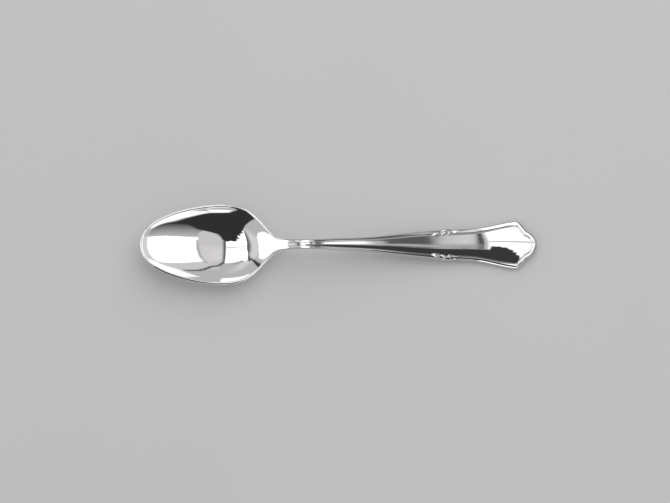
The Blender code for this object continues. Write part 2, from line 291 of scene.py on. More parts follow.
    def half_width(self, station: np.ndarray) -> np.ndarray:
        """Half of the spoon's width at a station."""
        return np.sqrt(np.maximum(self.half_squared(station), 0.0))

    def onto_neck(self, station: np.ndarray) -> np.ndarray:
        """Eases from 0 in the bowl to 1 on the neck and the handle."""
        return smooth_step(self.drop_start * self.bowl_length, self.bowl_length, station)

    def steepness(self, station: np.ndarray) -> np.ndarray:
        """Tells how much steeper than a plain arc the wall stands at its rim.

        Args:
            station: Stations along the spoon.

        Returns:
            The steepness there, below 0 at the heel.
        """
        onto_heel = smooth_step(self.heel_ease_start * self.bowl_length, self.bowl_length, station)
        onto_joint = smooth_step(self.bowl_length, self.joint, station)
        return between(self.wall_steepness, -self.heel_ease, onto_heel) * (1.0 - onto_joint)

    def top_height(self, station: np.ndarray, side: np.ndarray) -> np.ndarray:
        """Gives the height of the plain upper face.

        Args:
            station: Stations along the spoon.
            side: Distances to the side of the middle.

        Returns:
            The heights there.
        """
        ratio = side**2 / np.maximum(self.half_squared(station), self.slope_step**2)
        steep = self.steepness(station)
        return self.centre(station) + self.lift(station) * ratio * (1.0 - steep + steep * ratio)

    def top_normal(self, station: np.ndarray, side: np.ndarray) -> np.ndarray:
        """Gives the vectors that stand on the plain upper face.

        Args:
            station: Stations along the spoon.
            side: Distances to the side of the middle.

        Returns:
            One vector of length one for each place.
        """
        step = self.slope_step
        along = self.top_height(station + step, side) - self.top_height(station - step, side)
        across = self.top_height(station, side + step) - self.top_height(station, side - step)
        return unit(np.stack([-along, -across, np.full_like(along, 2 * step)], axis=-1))

    def spine_thickness(self, station: np.ndarray) -> np.ndarray:
        """Gives the metal under the middle of the upper face.

        Args:
            station: Stations along the spoon.

        Returns:
            The thickness there.
        """
        onto_fan = smooth_step(self.joint, self.along_handle(self.waist_station), station)
        root = between(self.bowl_wall, self.neck_thickness, self.onto_neck(station))
        return between(root, self.handle_thickness, onto_fan)

    def drop_reach(self, station: np.ndarray) -> np.ndarray:
        """How far to each side of the middle the thicker metal goes."""
        return between(self.bowl_width, self.drop_width, self.onto_neck(station)) / 2

    def spine_station(self, station: np.ndarray) -> np.ndarray:
        """Finds where ribs end on the middle of the spoon.

        Args:
            station: Stations at which the ribs leave the outline.

        Returns:
            Stations of their inner ends.
        """
        bowl_reach = self.bowl_tip_radius * np.exp(-self.rib_fan * station / self.bowl_tip_radius)
        to_tip = self.tip - station
        lobe_reach = self.lobe_radius * np.exp(-self.rib_fan * to_tip / self.lobe_radius)
        return station + bowl_reach - lobe_reach


def unit(vectors: np.ndarray) -> np.ndarray:
    """Vectors brought to a length of one."""
    return vectors / np.linalg.norm(vectors, axis=-1, keepdims=True)


def spaced(line: np.ndarray, spacing: Callable[[np.ndarray], np.ndarray]) -> np.ndarray:
    """Spreads points along a line by a spacing that may change with the station.

    Args:
        line: Points of the line, close together.
        spacing: Gives the wanted distance between points at each station.

    Returns:
        The points, the first and the last of the line among them.
    """
    lengths = np.hypot(*np.diff(line, axis=0).T)
    pace = lengths / spacing((line[1:, 0] + line[:-1, 0]) / 2)
    travelled = np.concatenate([[0.0], np.cumsum(pace)])
    marks = np.linspace(0.0, travelled[-1], max(2, round(travelled[-1]) + 1))
    return np.stack([np.interp(marks, travelled, line[:, i]) for i in (0, 1)], axis=1)


class Field:
    """A value on a wire of a node tree, with the usual arithmetic."""

    def __init__(self, sketch: "Sketch", socket: bpy.types.NodeSocket) -> None:
        """Keeps the wire's tree and the socket that it leaves."""
        self.sketch = sketch
        self.socket = socket

    @property
    def is_vector(self) -> bool:
        """Whether the wire carries vectors."""
        return self.socket.type in {"VECTOR", "RGBA"}

    def __add__(self, other: "Field | float") -> "Field":
        """Sum."""
        return self.sketch.combine("ADD", self, other)

    def __radd__(self, other: float) -> "Field":
        """Sum, with a plain number first."""
        return self.sketch.combine("ADD", other, self)

    def __sub__(self, other: "Field | float") -> "Field":
        """Difference."""
        return self.sketch.combine("SUBTRACT", self, other)

    def __rsub__(self, other: float) -> "Field":
        """Difference, with a plain number first."""
        return self.sketch.combine("SUBTRACT", other, self)

    def __mul__(self, other: "Field | float") -> "Field":
        """Product, or a vector scaled by a value."""
        return self.sketch.combine("MULTIPLY", self, other)

    def __rmul__(self, other: float) -> "Field":
        """Product, with a plain number first."""
        return self.sketch.combine("MULTIPLY", other, self)

    def __truediv__(self, other: "Field | float") -> "Field":
        """Quotient."""
        return self.sketch.combine("DIVIDE", self, other)

    def __rtruediv__(self, other: float) -> "Field":
        """Quotient, with a plain number first."""
        return self.sketch.combine("DIVIDE", other, self)

    def __pow__(self, other: float) -> "Field":
        """Power."""
        return self.sketch.math("POWER", self, other)

    def parts(self) -> "tuple[Field, Field, Field]":
        """The three parts of a vector."""
        node = self.sketch.node("ShaderNodeSeparateXYZ", {"Vector": self})
        return tuple(Field(self.sketch, node.outputs[i]) for i in range(3))

    def clamped(self) -> "Field":
        """Holds the value between 0 and 1.

        Returns:
            The wire of the held value.
        """
        held = self.sketch.math("ADD", self, 0.0)
        held.socket.node.use_clamp = True
        return held


class Sketch:
    """Draws a node tree out of values and the nodes that join them."""

    def __init__(self, tree: bpy.types.NodeTree) -> None:
        """Keeps the tree to draw in."""
        self.tree = tree

    def node(
        self, kind: str, inputs: dict[str | int, object] | None = None, **settings: object
    ) -> bpy.types.Node:
        """Adds a node.

        Args:
            kind: Type name of the node.
            inputs: Values or wires by the socket's name or place.
            **settings: Properties of the node.

        Returns:
            The new node.
        """
        made = self.tree.nodes.new(kind)
        for name, value in settings.items():
            setattr(made, name, value)
        for key, value in (inputs or {}).items():
            self.feed(made.inputs[key], value)
        return made

    def feed(self, socket: bpy.types.NodeSocket, value: object) -> None:
        """Links a wire to a socket, or sets the socket to a plain value.

        Args:
            socket: Socket to feed.
            value: Wire, socket or plain value.
        """
        if isinstance(value, Field):
            self.tree.links.new(value.socket, socket)
        elif isinstance(value, bpy.types.NodeSocket):
            self.tree.links.new(value, socket)
        else:
            socket.default_value = value

    def out(self, node: bpy.types.Node, key: str | int = 0) -> Field:
        """The wire that leaves a node's socket."""
        return Field(self, node.outputs[key])

    def math(self, operation: str, *values: Field | float) -> Field:
        """One step of arithmetic on plain values."""
        return self.out(self.node("ShaderNodeMath", dict(enumerate(values)), operation=operation))

    def vector_math(
        self, operation: str, *values: Field | Sequence[float], key: str | int = 0
    ) -> Field:
        """One step of arithmetic on vectors."""
        node = self.node("ShaderNodeVectorMath", dict(enumerate(values)), operation=operation)
        return self.out(node, key)

    def combine(self, operation: str, first: Field | float, second: Field | float) -> Field:
        """Joins two values, of which either may be a vector.

        Args:
            operation: Name of the step of arithmetic.
            first: First value.
            second: Second value.

        Returns:
            The wire of the result.
        """
        vectors = [isinstance(value, Field) and value.is_vector for value in (first, second)]
        if all(vectors):
            return self.vector_math(operation, first, second)
        if any(vectors):
            vector, scale = (first, second) if vectors[0] else (second, first)
            wires = {0: vector, "Scale": scale}
            return self.out(self.node("ShaderNodeVectorMath", wires, operation="SCALE"))
        return self.math(operation, first, second)

    def xyz(self, x: Field | float, y: Field | float, z: Field | float) -> Field:
        """A vector out of three values."""
        return self.out(self.node("ShaderNodeCombineXYZ", {0: x, 1: y, 2: z}))

    def mix(self, share: Field | float, start: Field | float, end: Field | float) -> Field:
        """Goes from start to end by a share of the way, for values and for vectors."""
        return start + (end - start) * share

    def length(self, vector: Field) -> Field:
        """Length of a vector."""
        return self.vector_math("LENGTH", vector, key="Value")

    def sample(
        self, guide: bpy.types.NodeSocket, name: str, index: Field, kind: str = "FLOAT_VECTOR"
    ) -> Field:
        """Reads a named value of a guide at an index.

        Args:
            guide: Socket of the guide.
            name: Name of the value.
            index: Which point of the guide.
            kind: Type name of the value.

        Returns:
            The wire of the value.
        """
        column = self.node("GeometryNodeInputNamedAttribute", {"Name": name}, data_type=kind)
        wires = {"Geometry": guide, "Value": column.outputs[0], "Index": index}
        return self.out(self.node("GeometryNodeSampleIndex", wires, data_type=kind, clamp=True))

    def noise(self, place: Field, detail: float) -> Field:
        """Soft random values from 0 to 1, about one cloud for each unit of the place."""
        wires = {"Vector": place, "Scale": 1.0, "Detail": detail}
        return self.out(self.node("ShaderNodeTexNoise", wires), "Fac")

    def blend(self, share: Field, first: object, second: object) -> Field:
        """Goes from the first colour to the second by a share of the way."""
        wires = {0: share, 6: first, 7: second}
        return self.out(self.node("ShaderNodeMix", wires, data_type="RGBA"), 2)


def new_tree(
    name: str, kind: str, inputs: dict[str, str], outputs: dict[str, str]
) -> tuple[Sketch, bpy.types.Node]:
    """Starts a node tree.

    Args:
        name: Name of the tree.
        kind: Type name of the tree.
        inputs: Names of what goes in, each with the kind of its socket.
        outputs: Names of what comes out, likewise.

    Returns:
        The sketch to draw in and the node that gives the inputs.
    """
    tree = bpy.data.node_groups.new(name, kind)
    for way, sockets in (("INPUT", inputs), ("OUTPUT", outputs)):
        for key, socket in sockets.items():
            tree.interface.new_socket(key, in_out=way, socket_type="NodeSocket" + socket)
    sketch = Sketch(tree)
    return sketch, sketch.node("NodeGroupInput")


def new_material(name: str) -> tuple[bpy.types.Material, Sketch, bpy.types.Node]:
    """Makes a material with nodes.

    Args:
        name: Name of the material.

    Returns:
        The material, the sketch to draw in and the shader.
    """
    made = bpy.data.materials.new(name)
    made.use_nodes = True
    return made, Sketch(made.node_tree), made.node_tree.nodes["Principled BSDF"]


class GuideTable:
    """A row of points that hands named values to a node tree."""

    def __init__(self, name: str, count: int) -> None:
        """Makes the row, joined point to point, outside of the picture.

        Args:
            name: Name of the guide.
            count: Number of its points.
        """
        self.mesh = bpy.data.meshes.new(name)
        links = [(i, i + 1) for i in range(count - 1)]
        self.mesh.from_pydata(np.zeros((count, 3)).tolist(), links, [])
        self.guide = add_object(name, self.mesh)

    def place(self, points: np.ndarray) -> None:
        """Moves the points of the row."""
        self.mesh.vertices.foreach_set("co", np.asarray(points, np.float32).ravel())

    def store(self, name: str, values: np.ndarray) -> None:
        """Gives every point a value or a vector under a name.

        Args:
            name: Name of the values.
            values: One value or one row of three for each point.
        """
        values = np.asarray(values, np.float32)
        kind, slot = ("FLOAT_VECTOR", "vector") if values.ndim == 2 else ("FLOAT", "value")
        self.mesh.attributes.new(name, kind, "POINT").data.foreach_set(slot, values.ravel())

    def discard(self) -> None:
        """Takes the guide out of the scene."""
        bpy.data.objects.remove(self.guide, do_unlink=True)
        bpy.data.meshes.remove(self.mesh)


class StrokeKind(Enum):
    """The forms that are struck beside the thread."""

    VOLUTE = "volute"
    LEAF = "leaf"
    PEARL = "pearl"


@dataclass(frozen=True)
class Stroke:
    """One raised form of the ornament, laid along the edge of the handle.

    Stations are shares of the handle's length; insets count inwards from the outline.
    """

    kind: StrokeKind
    start: tuple[float, float]
    end: tuple[float, float]
    half_width: float
    height: float
    bow: float = 0.0
    VOLUTE_TAIL: ClassVar[float] = 0.45
    VOLUTE_GROWTH: ClassVar[tuple[float, float]] = (0.2, 0.8)
    LEAF_TIP: ClassVar[float] = 0.55

    def profile(self, share: np.ndarray) -> np.ndarray:
        """Gives the width along the stroke.

        Args:
            share: Shares of the way along it.

        Returns:
            Shares of its widest place.
        """
        if self.kind is StrokeKind.VOLUTE:
            return between(self.VOLUTE_TAIL, 1.0, smooth_step(*self.VOLUTE_GROWTH, share))
        if self.kind is StrokeKind.LEAF:
            return between(self.LEAF_TIP, 1.0, np.sin(math.pi * share))
        return np.ones_like(share)

    def path(self, lines: SpoonLines, count: int) -> np.ndarray:
        """Points of the stroke on the plain upper face.

        Args:
            lines: The spoon's lines.
            count: Number of points.

        Returns:
            The points, one row each, with the stroke's width and height in two more columns.
        """
        share = np.linspace(0.0, 1.0, count)
        station = lines.along_handle(between(self.start[0], self.end[0], share))
        inset = between(self.start[1], self.end[1], share) + self.bow * np.sin(math.pi * share)
        side = lines.half_width(station) - inset
        width = self.half_width * self.profile(share)
        height = self.height * self.profile(share)
        return np.stack([station, side, lines.top_height(station, side), width, height], axis=1)


class RibLoft:
    """The node tree that lofts a piece of the spoon over its ribs by the rule of the section.

    Half of a section runs from the spine over the upper face to the edge, round the edge, and back
    under the lower face. Its places are counted from 0 at the spine to 1 at the edge, 2 below the
    edge and 3 at the spine again. In the bowl the lower face follows the upper one; on neck and
    handle it is an oval.
    """

    STATION_STEP = 0.05 * MM
    STATION_MARGIN = 1.0 * MM
    WELD = 0.002 * MM
    SLIVER = 0.0001 * MM
    SHARP_ANGLE = math.radians(50)
    EDGE_PLACE, WIDEST_PLACE, UNDER_PLACE, LAST_PLACE = 1.0, 1.5, 2.0, 3.0
    LEAST_HALF_SQUARED = 1e-4
    LEAST_STROKE = 1e-9
    LEAST_SLANT = 0.7
    PLAIN_SPAN = 0.5
    EDGE_ROUNDS = 4
    DROP_ROUNDNESS = 1.5
    THREAD_FLANK = 0.55
    # Gains of the darker metal in the recesses: patina with painted shade.
    STROKE_DIRT, PANEL_DIRT, FLANK_DIRT = 2.5, 14.0, 5.0
    DIRTY_CREST = 0.28 * MM

    def __init__(self, lines: SpoonLines) -> None:
        """Lays out the lines as a table and draws the tree.

        Args:
            lines: The spoon's lines.
        """
        self.lines = lines
        self.table = self._station_table()
        self.face_rule = self._draw_face_rule()
        self.tree = self._draw_loft()

    def _station_table(self) -> GuideTable:
        """Lays out the spoon's lines at close stations.

        Returns:
            The guide for the tree.
        """
        lines = self.lines
        count = round((lines.tip + 2 * self.STATION_MARGIN) / self.STATION_STEP) + 1
        stations = np.arange(count) * self.STATION_STEP - self.STATION_MARGIN
        table = GuideTable("station_table", count)
        face = [lines.centre(stations), lines.lift(stations), lines.half_squared(stations) / MM**2]
        table.store("face", np.stack(face, axis=1))
        rules = (lines.steepness, lines.spine_thickness, lines.drop_reach)
        table.store("metal", np.stack([rule(stations) for rule in rules], axis=1))
        return table

    def _read_table(
        self, sketch: Sketch, geometry: bpy.types.NodeSocket, name: str, station: Field
    ) -> Field:
        """Reads a vector of the station table between its rows.

        Args:
            sketch: Tree to draw in.
            geometry: Socket of the table.
            name: Name of the vector.
            station: Station to read it at.

        Returns:
            The wire of the vector.
        """
        place = (station + self.STATION_MARGIN) * (1.0 / self.STATION_STEP)
        row = sketch.math("FLOOR", place)
        rows = [sketch.sample(geometry, name, index) for index in (row, row + 1.0)]
        return sketch.mix(place - row, *rows)

    def _draw_face_rule(self) -> bpy.types.NodeTree:
        """Draws the group that gives the height of the upper face.

        Returns:
            The group.
        """
        inputs = {"Station": "Float", "Side": "Float", "Table": "Geometry"}
        sketch, given = new_tree("upper_face_rule", "GeometryNodeTree", inputs, {"Height": "Float"})
        station, side = sketch.out(given, "Station"), sketch.out(given, "Side") * (1.0 / MM)
        table = given.outputs["Table"]
        centre, lift, half_squared = self._read_table(sketch, table, "face", station).parts()
        steep = self._read_table(sketch, table, "metal", station).parts()[0]
        ratio = side * side / sketch.math("MAXIMUM", half_squared, self.LEAST_HALF_SQUARED)
        height = centre + lift * ratio * (1.0 - steep + steep * ratio)
        sketch.node("NodeGroupOutput", {"Height": height})
        return sketch.tree

    def _face_height(
        self, sketch: Sketch, table: bpy.types.NodeSocket, station: Field, side: Field
    ) -> Field:
        """Places the group of the upper face in the tree.

        Args:
            sketch: Tree to draw in.
            table: Socket of the station table.
            station: Station along the spoon.
            side: Distance to the side of the middle.

        Returns:
            The wire of the height there.
        """
        wires = {"Station": station, "Side": side, "Table": table}
        rule = sketch.node("GeometryNodeGroup", wires, node_tree=self.face_rule)
        return sketch.out(rule, "Height")

    def _draw_loft(self) -> bpy.types.NodeTree:
        """Draws the tree that makes a piece out of its ribs, section and strokes.

        Returns:
            The tree.
        """
        guide_names = ("Ribs", "Places", "Stations", "Strokes")
        inputs = dict.fromkeys(guide_names, "Object")
        inputs |= {"Rib Count": "Int", "Place Count": "Int", "Edge Wall": "Float"}
        inputs |= {"Half Length": "Float", "Material": "Material"}
        sketch, given = new_tree("rib_loft", "GeometryNodeTree", inputs, {"Piece": "Geometry"})
        guides = [{"Object": given.outputs[name]} for name in guide_names]
        ribs, places, table, strokes = (
            sketch.node("GeometryNodeObjectInfo", guide).outputs["Geometry"] for guide in guides
        )
        place_count, rib_count = sketch.out(given, "Place Count"), sketch.out(given, "Rib Count")
        wires = {"Vertices X": place_count, "Vertices Y": rib_count, "Size X": 1.0, "Size Y": 1.0}
        grid = sketch.node("GeometryNodeMeshGrid", wires)
        across, along, _ = sketch.out(sketch.node("GeometryNodeInputPosition")).parts()
        place_index = sketch.math("ROUND", (across + 0.5) * (place_count - 1.0))
        rib_index = sketch.math("ROUND", (along + 0.5) * (rib_count - 1.0))

        # What the guides say about this place of the section and this rib.
        place = sketch.sample(places, "place", place_index, "FLOAT")
        spine, edge, middle, rise, out, corner, fall, close_at = (
            sketch.sample(ribs, name, rib_index)
            for name in ("spine", "edge", "middle", "rise", "out", "corner", "fall", "close_at")
        )
        crest, span, oval_share = sketch.sample(ribs, "relief", rib_index).parts()
        closed = sketch.sample(ribs, "closed", rib_index, "FLOAT")

        # The plain upper face: half of the places lie on the panel and half on the thread's flank.
        from_spine = sketch.math("MINIMUM", place, self.LAST_PLACE - place).clamped()
        panel = (from_spine * 2.0).clamped() * (1.0 - span)
        flank = (from_spine * 2.0 - 1.0).clamped()
        share = panel + flank * span
        spot = spine + (edge - spine) * share
        station, side, _ = spot.parts()
        height = self._face_height(sketch, table, station, side)
        step = self.STATION_STEP
        behind, ahead = (
            self._face_height(sketch, table, station + off, side) for off in (-step, step)
        )
        within, beyond = (
            self._face_height(sketch, table, station, side + off) for off in (-step, step)
        )
        lean = sketch.xyz(behind - ahead, within - beyond, 2 * step)
        normal = sketch.vector_math("NORMALIZE", lean)
        on_face = sketch.xyz(station, side, height)

        # Thread and strokes stand on it.
        wires = {"Geometry": strokes, "Sample Position": on_face}
        stroke_index = sketch.out(sketch.node("GeometryNodeSampleNearest", wires), "Index")
        stroke_spot = sketch.sample(strokes, "position", stroke_index)
        stroke_width, stroke_height, _ = sketch.sample(strokes, "form", stroke_index).parts()
        stroke_width = sketch.math("MAXIMUM", stroke_width, self.LEAST_STROKE)
        away = sketch.length(on_face - stroke_spot) / stroke_width
        struck = stroke_height * (1.0 - away * away).clamped()
        climb = (flank * (1.0 / self.THREAD_FLANK)).clamped()
        thread = crest * (1.0 - (1.0 - climb) * (1.0 - climb))
        relief = sketch.math("MAXIMUM", thread, struck)
        upper = on_face + normal * relief

        # The lower face of the bowl, with the drop under its heel.
        _, spine_metal, reach = self._read_table(sketch, table, "metal", station).parts()
        to_spine = sketch.length(spot - spine)
        limit = sketch.math("MINIMUM", sketch.length(edge - spine), reach)
        off = to_spine / limit
        full = (1.0 - off * off).clamped() ** self.DROP_ROUNDNESS
        edge_wall = sketch.out(given, "Edge Wall")
        under = on_face - normal * (edge_wall + (spine_metal - edge_wall) * full)

        # The round of the edge, and the oval under neck and handle.
        turn = (place - self.EDGE_PLACE).clamped() * math.pi
        rounded = middle + rise * sketch.math("COSINE", turn) + out * sketch.math("SINE", turn)
        oval_run = self.LAST_PLACE - self.WIDEST_PLACE
        turn = ((place - self.WIDEST_PLACE) * (1.0 / oval_run)).clamped() * (math.pi / 2)
        outwards = middle + out - corner
        oval = corner + outwards * sketch.math("COSINE", turn) + fall * sketch.math("SINE", turn)

        below_edge, past_edge, past_widest = (
            sketch.math("GREATER_THAN", place, limit)
            for limit in (self.UNDER_PLACE, self.EDGE_PLACE, self.WIDEST_PLACE)
        )
        lower = sketch.mix(below_edge, rounded, under)
        lower = sketch.mix(past_widest * oval_share, lower, oval)
        whole = sketch.mix(past_edge, upper, lower)
        whole = sketch.mix(closed, whole, close_at)
        x, y, z = whole.parts()
        on_middle = sketch.math("GREATER_THAN", y, self.WELD)
        x = x - sketch.out(given, "Half Length")
        laid = sketch.xyz(x, y * on_middle, sketch.math("MAXIMUM", z, 0.0))

        # Patina and painted shade in the recesses, stored before the grid is moved.
        beside = (1.0 - sketch.math("ABSOLUTE", away - 1.0) * self.STROKE_DIRT).clamped()
        foot = (1.0 - (1.0 - from_spine * 2.0) * self.PANEL_DIRT).clamped()
        foot = foot * (1.0 - flank * self.FLANK_DIRT).clamped()
        foot = foot * (crest * (1.0 / self.DIRTY_CREST)).clamped()
        recess = sketch.math("MAXIMUM", beside, foot) * (1.0 - past_edge)
        wires = {"Geometry": grid.outputs["Mesh"], "Name": "recess", "Value": recess}
        marked = sketch.node(
            "GeometryNodeStoreNamedAttribute", wires, data_type="FLOAT", domain="POINT"
        )
        wires = {"Geometry": marked.outputs["Geometry"], "Position": laid}
        half = sketch.node("GeometryNodeSetPosition", wires)
        half_out = half.outputs["Geometry"]
        wires = {"Geometry": half_out, "Scale": (1.0, -1.0, 1.0)}
        other = sketch.node("GeometryNodeTransform", wires)
        other_out = sketch.node("GeometryNodeFlipFaces", {"Mesh": other.outputs["Geometry"]})
        both = sketch.node("GeometryNodeJoinGeometry")
        for socket in (half_out, other_out.outputs["Mesh"]):
            sketch.feed(both.inputs["Geometry"], socket)
        wires = {"Geometry": both.outputs["Geometry"], "Distance": self.WELD}
        welded = sketch.node("GeometryNodeMergeByDistance", wires)
        real = sketch.node("GeometryNodeRealizeInstances", {"Geometry": welded.outputs["Geometry"]})
        wires = {"Geometry": real.outputs["Geometry"], "Material": given.outputs["Material"]}
        dressed = sketch.node("GeometryNodeSetMaterial", wires)
        sketch.node("NodeGroupOutput", {"Piece": dressed.outputs["Geometry"]})
        return sketch.tree

    def outward(self, outline: np.ndarray) -> np.ndarray:
        """Unit vectors that point out of an outline, seen from above.

        Args:
            outline: Points of half of the outline.

        Returns:
            One vector for each point.
        """
        mirrored = outline * (1.0, -1.0)
        start = mirrored[1] if abs(outline[0, 1]) < self.WELD else outline[0]
        end = mirrored[-2] if abs(outline[-1, 1]) < self.WELD else outline[-1]
        line = np.vstack([start, outline, end])
        legs = np.diff(line, axis=0)
        lengths = np.linalg.norm(legs, axis=1, keepdims=True)
        legs = np.divide(legs, lengths, out=np.zeros_like(legs), where=lengths > 0)
        along = unit(legs[:-1] + legs[1:])
        return np.stack([-along[:, 1], along[:, 0]], axis=1)

    def rib_guide(
        self, outline: np.ndarray, crest: np.ndarray, thread: np.ndarray | None, joint_end: int
    ) -> GuideTable:
        """Works out where each rib's spine, edge and oval lie.

        Args:
            outline: Points of half of the outline, one for each rib.
            crest: Height of the thread at each rib.
            thread: Width of the thread at each rib, or None where a piece has none.
            joint_end: Which end of the outline, 0 or -1, is closed with a flat face at the joint.

        Returns:
            The guide of the ribs.
        """
        lines = self.lines
        facing = self.outward(outline)
        inset = np.full(len(outline), lines.edge_wall / 2)
        for _ in range(self.EDGE_ROUNDS):
            edge = outline - facing * inset[:, None]
            normal = lines.top_normal(edge[:, 0], edge[:, 1])
            lean = np.sum(normal[:, :2] * facing, axis=1)
            inset = (lines.edge_wall + crest - lean * (lines.edge_wall - crest)) / 2
        edge3 = np.column_stack([edge, lines.top_height(edge[:, 0], edge[:, 1])])
        top = edge3 + normal * crest[:, None]
        low = edge3 - normal * lines.edge_wall
        middle = (top + low) / 2
        rise = top - middle
        radius = np.linalg.norm(rise, axis=1, keepdims=True)
        facing3 = np.column_stack([facing, np.zeros(len(facing))])
        along_rise = np.sum(facing3 * rise, axis=1, keepdims=True)
        out = unit(facing3 - rise * along_rise / radius**2) * radius

        spine_x = lines.spine_station(outline[:, 0])
        spine = np.column_stack([spine_x, np.zeros_like(spine_x), lines.centre(spine_x)])
        stand = lines.top_normal(spine_x, np.zeros_like(spine_x))
        lowest = spine - stand * lines.spine_thickness(spine_x)[:, None]
        drop = np.sum((lowest - middle - out) * -stand, axis=1, keepdims=True)
        fall = -stand * drop
        corner = lowest - fall
        oval = smooth_step(lines.neck_blend * lines.bowl_length, lines.bowl_length, outline[:, 0])

        across = spine[:, :2] - edge
        length = np.linalg.norm(across, axis=1)
        span = np.full(len(outline), self.PLAIN_SPAN)
        if thread is not None:
            slant = np.maximum(self.LEAST_SLANT, -np.sum(facing * across, axis=1) / length)
            span = (thread - inset) / slant / length

        rules = {
            "spine": spine * (1.0, 1.0, 0.0),
            "edge": np.column_stack([edge, np.zeros(len(edge))]),
            "middle": middle,
            "rise": rise,
            "out": out,
            "corner": corner,
            "fall": fall,
            "relief": np.stack([crest, span, oval], axis=1),
            "close_at": np.tile((spine[joint_end] + lowest[joint_end]) / 2, (len(outline), 1)),
            "closed": np.zeros(len(outline)),
        }
        guide = GuideTable("rib_guide", len(outline) + 1)
        for name, values in rules.items():
            extra = np.ones(1) if name == "closed" else values[joint_end][None]
            ordered = [values, extra] if joint_end == -1 else [extra, values]
            guide.store(name, np.concatenate(ordered))
        return guide

    def loft(
        self,
        name: str,
        ribs: GuideTable,
        places: np.ndarray,
        strokes: np.ndarray,
        material: bpy.types.Material,
    ) -> bpy.types.Object:
        """Makes a plain mesh object out of a piece's ribs.

        Args:
            name: Name of the piece.
            ribs: Guide of its ribs.
            places: Places of its section, from 0 to 3.
            strokes: Points of its ornament, as Stroke.path gives them.
            material: Its material.

        Returns:
            The finished piece.
        """
        place_guide = GuideTable("place_guide", len(places))
        place_guide.store("place", places)
        stroke_guide = GuideTable("stroke_guide", len(strokes))
        stroke_guide.place(strokes[:, :3])
        stroke_guide.store("form", np.column_stack([strokes[:, 3:], np.zeros(len(strokes))]))
        bare = bpy.data.meshes.new("bare")
        piece = add_object(name, bare)
        modifier = piece.modifiers.new("rib_loft", "NODES")
        modifier.node_group = self.tree
        values = {
            "Ribs": ribs.guide,
            "Places": place_guide.guide,
            "Stations": self.table.guide,
            "Strokes": stroke_guide.guide,
            "Rib Count": len(ribs.mesh.vertices),
            "Place Count": len(places),
            "Edge Wall": self.lines.edge_wall,
            "Half Length": self.lines.tip / 2,
            "Material": material,
        }
        for item in self.tree.interface.items_tree:
            if item.in_out == "INPUT":
                modifier[item.identifier] = values[item.name]
        evaluated = piece.evaluated_get(bpy.context.evaluated_depsgraph_get())
        mesh = bpy.data.meshes.new_from_object(evaluated)
        piece.modifiers.remove(modifier)
        piece.data = mesh
        mesh.name = name
        bpy.data.meshes.remove(bare)
        for guide in (ribs, place_guide, stroke_guide):
            guide.discard()
        self._close(mesh)
        return piece

    @staticmethod
    def _close(mesh: bpy.types.Mesh) -> None:
        """Turns all faces outwards and shades the piece smooth up to its sharp edges.

        Args:
            mesh: The piece's mesh.
        """
        work = bmesh.new()
        work.from_mesh(mesh)
        bmesh.ops.dissolve_degenerate(work, dist=RibLoft.SLIVER, edges=work.edges)
        bmesh.ops.recalc_face_normals(work, faces=work.faces)
        open_edges = sum(1 for edge in work.edges if not edge.is_manifold)
        log.info("%s: %d faces, %d open edges", mesh.name, len(work.faces), open_edges)
        work.to_mesh(mesh)
        work.free()
        mesh.polygons.foreach_set("use_smooth", [True] * len(mesh.polygons))
        mesh.set_sharp_from_angle(angle=RibLoft.SHARP_ANGLE)


@dataclass
class Bowl:
    """The bowl with its neck."""

    lines: SpoonLines
    loft: RibLoft
    rib_spacing: float = 0.28 * MM
    upper_places: int = 40
    edge_places: int = 10
    lower_places: int = 30
    outline_points: int = 4000
    joint_gap: float = 0.01 * MM

    def outline(self) -> np.ndarray:
        """Draws half of the bowl's edge seen from above.

        Returns:
            Points from its tip to the joint.
        """
        end = self.lines.joint - self.joint_gap / 2
        stations = end * np.linspace(0.0, 1.0, self.outline_points) ** 2
        line = np.stack([stations, self.lines.half_width(stations)], axis=1)
        return spaced(line, lambda station: np.full_like(station, self.rib_spacing))

    def build(self, material: bpy.types.Material) -> bpy.types.Object:
        """Lofts the bowl.

        Args:
            material: Its material.

        Returns:
            The piece.
        """
        outline = self.outline()
        ribs = self.loft.rib_guide(outline, np.zeros(len(outline)), None, joint_end=-1)
        places = np.concatenate(
            [
                np.linspace(0.0, 1.0, self.upper_places),
                np.linspace(1.0, 2.0, self.edge_places)[1:],
                np.linspace(2.0, 3.0, self.lower_places)[1:],
            ]
        )
        return self.loft.loft("spoon_bowl", ribs, places, np.zeros((1, 5)), material)


